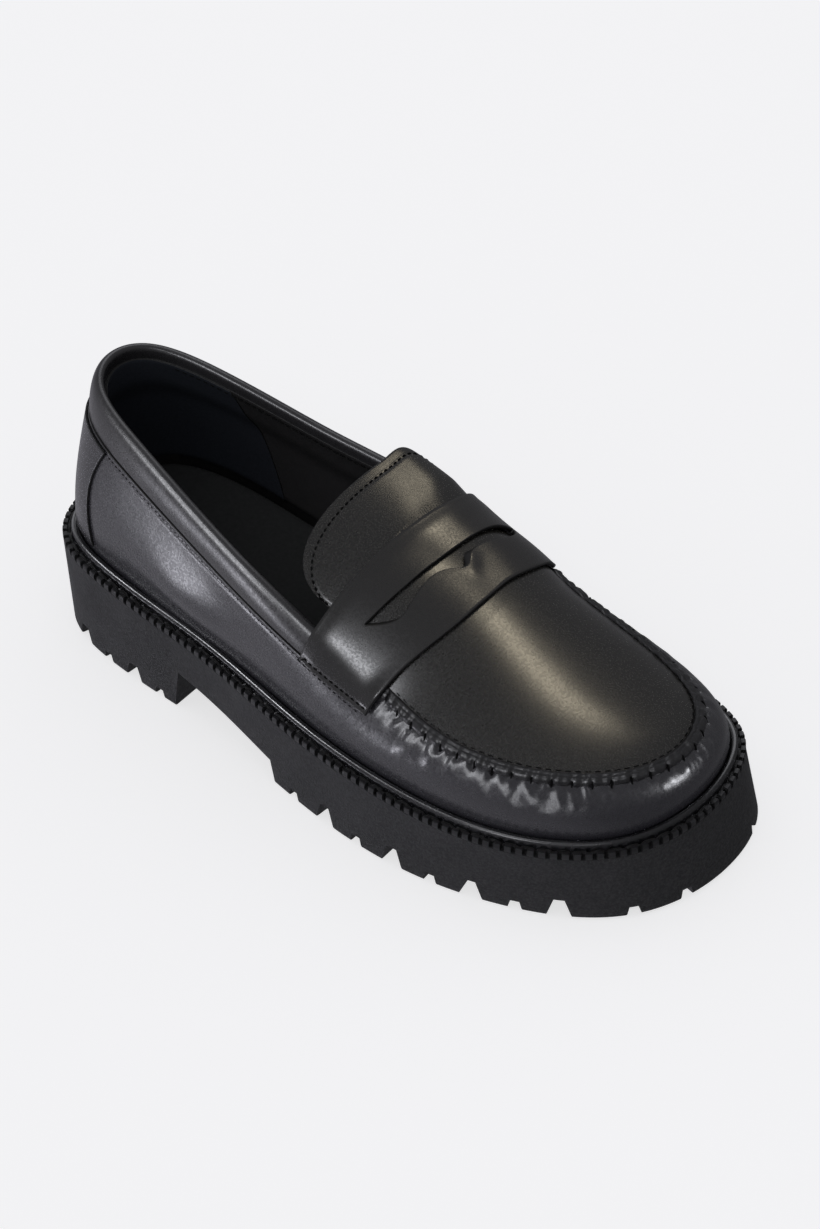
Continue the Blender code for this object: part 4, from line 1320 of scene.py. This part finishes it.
STRAP_PAIRS = np.linspace(3.0, 5.1, 211)
STRAP_ACROSS = np.linspace(-1, 1, 241)
STRAP_SMOOTHING = 50
STRAP_PROUD = 2.3
STRAP_THICKNESS = 1.5
STRAP_ROW_INSET = 1.8
SLOT_PAIR = 4.3
SLOT_FIRST = SLOT[0][0]
SLOT_LAST = SLOT[-1][0]
CUT_HALF = 0.25
ROW_EASE = 1.4
FLAP_LEAST = 0.12
SLOT_BEHIND = 0.14
REAR_LEAST = 0.1
CUT_LEAST = 0.012
NORMAL_SMOOTHING = 4
REAR_DROP = 0.55
REAR_REACH = 3.5
CORNER_ACROSS = -0.86
CORNER_WIDTH = 0.13
CORNER_LIFT = 0.9
FLAP_REACH = 4.0
STEP_LIFT = 0.5
STEP_WIDTH = 4.5
# At the S-step of the front flap and at the slot's lateral end the cut edge leans out, so its black edge
# shows as a wide dark band: partly real edge paint, partly painted shade inside the slot.
STEP_LEAN = 3.0
STEP_LEAN_Y = SLOT_STEP + 0.3
STEP_LEAN_WIDTH = 3.2
END_LEAN = 1.5
END_LEAN_Y = -22
END_LEAN_RUN = 4
QUARTER_ROWS = ((3.96, 4.86), (14.05, 13.1))
QUARTER_DROP = 2.2
QUARTER_STEPS = 60
BAR_STEPS = 12
BAR_BOW = 0.5


def hill(distance, width):
    """Rounded hill of height 1, by the distance from its middle."""
    return np.exp(-(distance / width) ** 2)


def on_saddle(cells, pair):
    """Points of the smoothed saddle, one for each place across."""
    step = STRAP_PAIRS[1] - STRAP_PAIRS[0]
    where = np.clip((pair - STRAP_PAIRS[0]) / step, 0, len(STRAP_PAIRS) - 1.001)
    low = where.astype(int)
    part = (where - low)[:, None]
    line = np.arange(len(cells))
    return cells[line, low] * (1 - part) + cells[line, low + 1] * part


def slot_edges(cells, ys):
    """Places of the slot's rear and front edges, and of a narrow cut on both sides of the slot."""
    edges = cubic(column(SLOT, SLOT_COLUMNS, "y")[:, 0], column(SLOT, SLOT_COLUMNS, "rear_x", "front_x"))
    found = []
    for line, y in zip(cells, ys):
        both = edges(np.clip(y, SLOT_FIRST, SLOT_LAST))[0]
        if not SLOT_FIRST < y < SLOT_LAST:
            both = both.mean() + np.array([-CUT_HALF, CUT_HALF])
        order = np.argsort(line[:, 0])
        found.append(np.interp(both, line[order, 0], STRAP_PAIRS[order]))
    return np.array(found).T


def make_strap():
    """Saddle strap with its slot, cut edges and sewn ends."""
    cells = evened(np.stack([saddle(STRAP_PAIRS, np.full(len(STRAP_PAIRS), place))
                             for place in STRAP_ACROSS]), STRAP_SMOOTHING)
    ys = np.array([np.interp(SLOT_PAIR, STRAP_PAIRS, line[:, 1]) for line in cells])
    front, rear = STRAP_EDGES(STRAP_ACROSS).T
    slot_rear, slot_front = slot_edges(cells, ys)
    slot_front = np.clip(slot_front, front + FLAP_LEAST, rear - SLOT_BEHIND)
    slot_rear = np.clip(slot_rear, slot_front + CUT_LEAST, rear - REAR_LEAST)
    part = np.linspace(0, 1, FLAP_ROWS)
    rows = [on_saddle(cells, front + (slot_front - front) * v) for v in 1 - (1 - part) ** ROW_EASE]
    rows += [on_saddle(cells, slot_rear + (rear - slot_rear) * v) for v in part ** ROW_EASE]
    grid = np.stack(rows)
    normal = upward_normals(grid)
    for _ in range(NORMAL_SMOOTHING):
        normal[:, 1:-1] = unit(normal[:, :-2] + 2 * normal[:, 1:-1] + normal[:, 2:])
    step = np.linalg.norm(np.diff(grid, axis=0), axis=2)
    from_front = np.vstack([np.zeros(grid.shape[1]), np.cumsum(step, axis=0)])
    from_rear = from_front[-1] - from_front
    from_slot = from_front[FLAP_ROWS - 1] - from_front[:FLAP_ROWS]
    proud = STRAP_PROUD - REAR_DROP * hill(from_rear, REAR_REACH)
    proud += CORNER_LIFT * hill(STRAP_ACROSS - CORNER_ACROSS, CORNER_WIDTH) * hill(from_front, FLAP_REACH)
    proud[:FLAP_ROWS] += STEP_LIFT * hill(ys - SLOT_STEP, STEP_WIDTH) * hill(from_slot, FLAP_REACH)
    grid = grid + normal * proud[..., None]
    normal = upward_normals(grid)
    ends = []
    for end, inside in ((0, 3), (-1, -4)):
        inward = unit(grid[:, inside] - grid[:, end])
        ends.append(seat(grid[1:-1, end] + inward[1:-1] * STRAP_ROW_INSET, grid, normal))
    for path, _ in ends:
        grid = press(grid, normal, path, depth=0.25, width=0.8)
    # Lean of the slot's cut edge: partly real edge paint, partly painted shade inside the slot.
    slope = (STEP_LEAN * hill(ys - STEP_LEAN_Y, STEP_LEAN_WIDTH)
             + END_LEAN * np.clip((END_LEAN_Y - ys) / END_LEAN_RUN, 0, 1))
    opened = np.where((ys > SLOT_FIRST) & (ys < SLOT_LAST))[0]
    solid_sheet("saddle_strap", grid, normal, STRAP_THICKNESS, [STRAP_SKIN, PAINT, PAINT],
                "strap", hole=(FLAP_ROWS - 1, opened[0], opened[-1]), slope=slope)
    strap_stitches(ends)


def strap_stitches(ends):
    """Stitches of the strap's ends, of the quarters behind them, and the bars between the two."""
    for number, (path, ups) in enumerate(ends, 1):
        stitch_row(f"strap_stitches_{number}", "strap", path, ups)
    for number, ((path, ups), (first, last)) in enumerate(zip(ends, QUARTER_ROWS), 1):
        station = np.linspace(first, last, QUARTER_STEPS)
        share = band(station) - QUARTER_DROP / wall_span(station, band(station))
        row, facing = wall(station, share), wall_normal(station, share)
        stitch_row(f"strap_quarter_stitches_{number}", "strap quarter", row, facing)
        part = np.linspace(0, 1, BAR_STEPS)[:, None]
        up = unit(ups[-2] + facing[0])
        bar = path[-2] + (row[0] - path[-2]) * part + up * BAR_BOW * np.sin(math.pi * part)
        stitch_row(f"strap_bar_stitches_{number}", "strap bar", bar, np.tile(up, (BAR_STEPS, 1)))


# Stage

FLOOR_Z = -0.0002
BACKDROP = (0.86, 0.86, 0.86)
WARM = (1.0, 0.88, 0.66)
COOL = (0.94, 0.95, 1.0)
LEATHERS = ("heel_strip", "collar_band", "apron_plug", "tongue_flap", "seam_roll")
RUBBERS = ("outsole_rubber", "welt_bead", "welt_teeth", "welt_stitches")
VAMPS = ("vamp_and_quarters",)
INSIDES = ("insole_sock", "lining_front", "lining_heel", "topline_inner_stitches_1",
           "topline_inner_stitches_2")
LIGHT_COLUMNS = ("name", "direction", "angle", "energy", "colour", "pieces")
LIGHTS = (
    ("apron light",       (0.07, 0.23, 0.97),   10.0, 0.44, WARM, ("apron_plug",)),
    ("strap light",       (0.0, 0.49, 0.87),    9.0,  0.27, WARM, ("saddle_strap",)),
    ("flap light",        (0.23, 0.21, 0.95),   8.0,  0.18, WARM, ("saddle_strap",)),
    ("strap low light",   (0.06, -0.77, 0.64),  10.0, 0.62, COOL, ("saddle_strap",)),
    ("tongue light",      (-0.08, 0.54, 0.84),  9.0,  0.14, WARM, ("tongue_flap",)),
    ("tongue edge light", (-0.25, 0.57, 0.78),  9.0,  0.14, WARM, ("tongue_flap",)),
    ("collar light",      (-0.53, -0.77, 0.34), 22.0, 1.20, COOL, ("collar_band",)),
    ("collar edge light", (-0.42, -0.64, 0.64), 15.0, 0.60, COOL, ("collar_band",)),
    ("collar top light",  (-0.45, 0.55, 0.70),  40.0, 0.50, COOL, ("collar_band",)),
    ("seam light",        (0.05, -0.20, 0.98),  14.0, 0.30, COOL, ("seam_roll",)),
    ("bead side light",   (-0.56, -0.26, 0.78), 10.0, 1.40, COOL, ("welt_bead",)),
    ("bead front light",  (-0.20, -0.31, 0.93), 18.0, 0.40, COOL, ("welt_bead",)),
    ("inside light",      (0.10, -0.62, 0.78),  60.0, 0.95, COOL, INSIDES),
    ("left light",        (-0.03, -0.79, 0.61), 20.0, 0.95, COOL, LEATHERS + RUBBERS),
    ("front light",       (0.42, -0.58, 0.70),  14.0, 0.24, COOL, LEATHERS + RUBBERS + ("floor",)),
    ("vamp side light",   (-0.46, -0.81, 0.36), 26.0, 1.10, COOL, VAMPS),
    ("vamp front light",  (0.0, -0.90, 0.44),   32.0, 1.05, COOL, VAMPS),
    ("vamp low light",    (0.34, -0.94, 0.08),  28.0, 0.70, COOL, VAMPS),
    ("toe light",         (0.91, 0.30, 0.30),   18.0, 1.45, COOL, VAMPS),
    ("medial light",      (-0.30, 0.75, 0.60),  40.0, 0.80, COOL, VAMPS + RUBBERS),
    ("back light",        (-0.95, 0.15, 0.30),  50.0, 0.70, COOL, VAMPS + RUBBERS + ("heel_strip",)),
)
ROOM = (0.15, 0.15, 0.16)
CARD_COLUMNS = ("name", "direction", "inner", "outer", "colour")
CARDS = (
    ("ceiling",   (0, 0, 1),              30.0, 110.0, (0.22, 0.22, 0.23)),
    ("low side",  (-0.5, -0.6, -0.6),     20.0, 90.0,  (0.33, 0.32, 0.36)),
    ("heel card", (-0.63, -0.70, -0.33),  3.0,  8.5,   (8.8, 8.8, 9.7)),
)
FLOOR_HALF = 6.0
FLOOR_GLOW = 0.67


def make_stage():
    """Pale floor, dim surround with cards, and lights for named pieces."""
    mesh = bpy.data.meshes.new("floor")
    corners = [(x * FLOOR_HALF, y * FLOOR_HALF, FLOOR_Z) for x, y in ((-1, -1), (1, -1), (1, 1), (-1, 1))]
    mesh.from_pydata(corners, [], [(0, 1, 2, 3)])
    material, tree, surface, _ = shader("floor paper", (0.55, 0.55, 0.56), 0.9, specular=0.1)
    fill(tree, surface, Emission_Color=(1.0, 1.0, 1.0, 1), Emission_Strength=FLOOR_GLOW)
    mesh.materials.append(material)
    floor = new_object("floor", mesh)
    floor.visible_glossy = False
    make_surround()
    for row in LIGHTS:
        make_light(**dict(zip(LIGHT_COLUMNS, row)))


def make_light(name, direction, angle, energy, colour, pieces):
    """Sun of a width in degrees that lights only the named pieces."""
    lamp = bpy.data.lights.new(name, "SUN")
    lamp.energy = energy
    lamp.angle = math.radians(angle)
    lamp.color = colour
    item = new_object(name, lamp)
    back = unit(np.array(direction))
    side = unit(np.cross(UP, back))
    item.matrix_world = placing(side, np.cross(back, side), back, direction)
    lit = bpy.data.collections.new(name)
    for piece in pieces:
        lit.objects.link(bpy.data.objects[piece])
    item.light_linking.receiver_collection = lit


def placing(across, over, back, position):
    """Matrix of a light or camera from its three axes and its position."""
    return Matrix([[across[i], over[i], back[i], position[i]] for i in range(3)] + [[0, 0, 0, 1]])


def make_surround():
    """Dim studio walls with a soft card overhead and two low on the lateral side towards the heel; pale where
    the camera sees them.
    """
    world = bpy.data.worlds.new("studio")
    world.use_nodes = True
    tree = world.node_tree
    toward = add_node(tree, "ShaderNodeTexCoord").outputs["Generated"]
    room = add_node(tree, "ShaderNodeVectorMath")
    room.inputs[0].default_value = ROOM
    total = room.outputs["Vector"]
    for row in CARDS:
        card = dict(zip(CARD_COLUMNS, row))
        facing = add_node(tree, "ShaderNodeVectorMath", (("operation", "DOT_PRODUCT"),))
        facing.inputs[1].default_value = unit(np.array(card["direction"], float))
        tree.links.new(toward, facing.inputs[0])
        ramp = add_node(tree, "ShaderNodeMapRange", (("interpolation_type", "SMOOTHSTEP"),),
                        Value=facing.outputs["Value"],
                        From_Min=math.cos(math.radians(card["outer"])),
                        From_Max=math.cos(math.radians(card["inner"])))
        glow = add_node(tree, "ShaderNodeVectorMath", (("operation", "SCALE"),),
                        Scale=ramp.outputs["Result"])
        glow.inputs[0].default_value = card["colour"]
        join = add_node(tree, "ShaderNodeVectorMath")
        tree.links.new(total, join.inputs[0])
        tree.links.new(glow.outputs["Vector"], join.inputs[1])
        total = join.outputs["Vector"]
    background = tree.nodes["Background"]
    fill(tree, background, Color=total)
    backdrop = add_node(tree, "ShaderNodeBackground", Color=(*BACKDROP, 1))
    seen = add_node(tree, "ShaderNodeMixShader",
                    Fac=add_node(tree, "ShaderNodeLightPath").outputs["Is Camera Ray"])
    tree.links.new(background.outputs["Background"], seen.inputs[1])
    tree.links.new(backdrop.outputs["Background"], seen.inputs[2])
    fill(tree, tree.nodes["World Output"], Surface=seen.outputs["Shader"])
    bpy.context.scene.world = world


CAMERA_ANGLES = (40.0, 42.0, -2.0)
CAMERA_TARGET = np.array([2.75, 9.0, 45.0])
CAMERA_DISTANCE = 1.5
CAMERA_LENS = 187.8


def make_camera():
    """The photograph's view: azimuth 40, elevation 42, rolled 2 degrees, from 1.5 m."""
    azimuth, elevation, roll = np.radians(CAMERA_ANGLES)
    level = math.cos(elevation)
    back = np.array([math.sin(azimuth) * level, -math.cos(azimuth) * level, math.sin(elevation)])
    right = np.array([math.cos(azimuth), math.sin(azimuth), 0.0])
    up = np.cross(back, right)
    across = math.cos(roll) * right + math.sin(roll) * up
    over = -math.sin(roll) * right + math.cos(roll) * up
    data = bpy.data.cameras.new("camera")
    data.sensor_fit = "HORIZONTAL"
    data.sensor_width = 36.0
    data.lens = CAMERA_LENS
    data.clip_start = 0.05
    data.clip_end = 50.0
    item = new_object("camera", data)
    item.matrix_world = placing(across, over, back, CAMERA_TARGET * MM + back * CAMERA_DISTANCE)
    bpy.context.scene.camera = item


make_camera()
make_outsole()
make_welt()
make_insole()
make_wall()
make_apron()
make_seam()
make_collar()
make_lining()
make_back_strip()
make_tongue()
make_strap()
make_stage()
bpy.context.scene.view_settings.view_transform = "Standard"

bpy.context.view_layer.update()
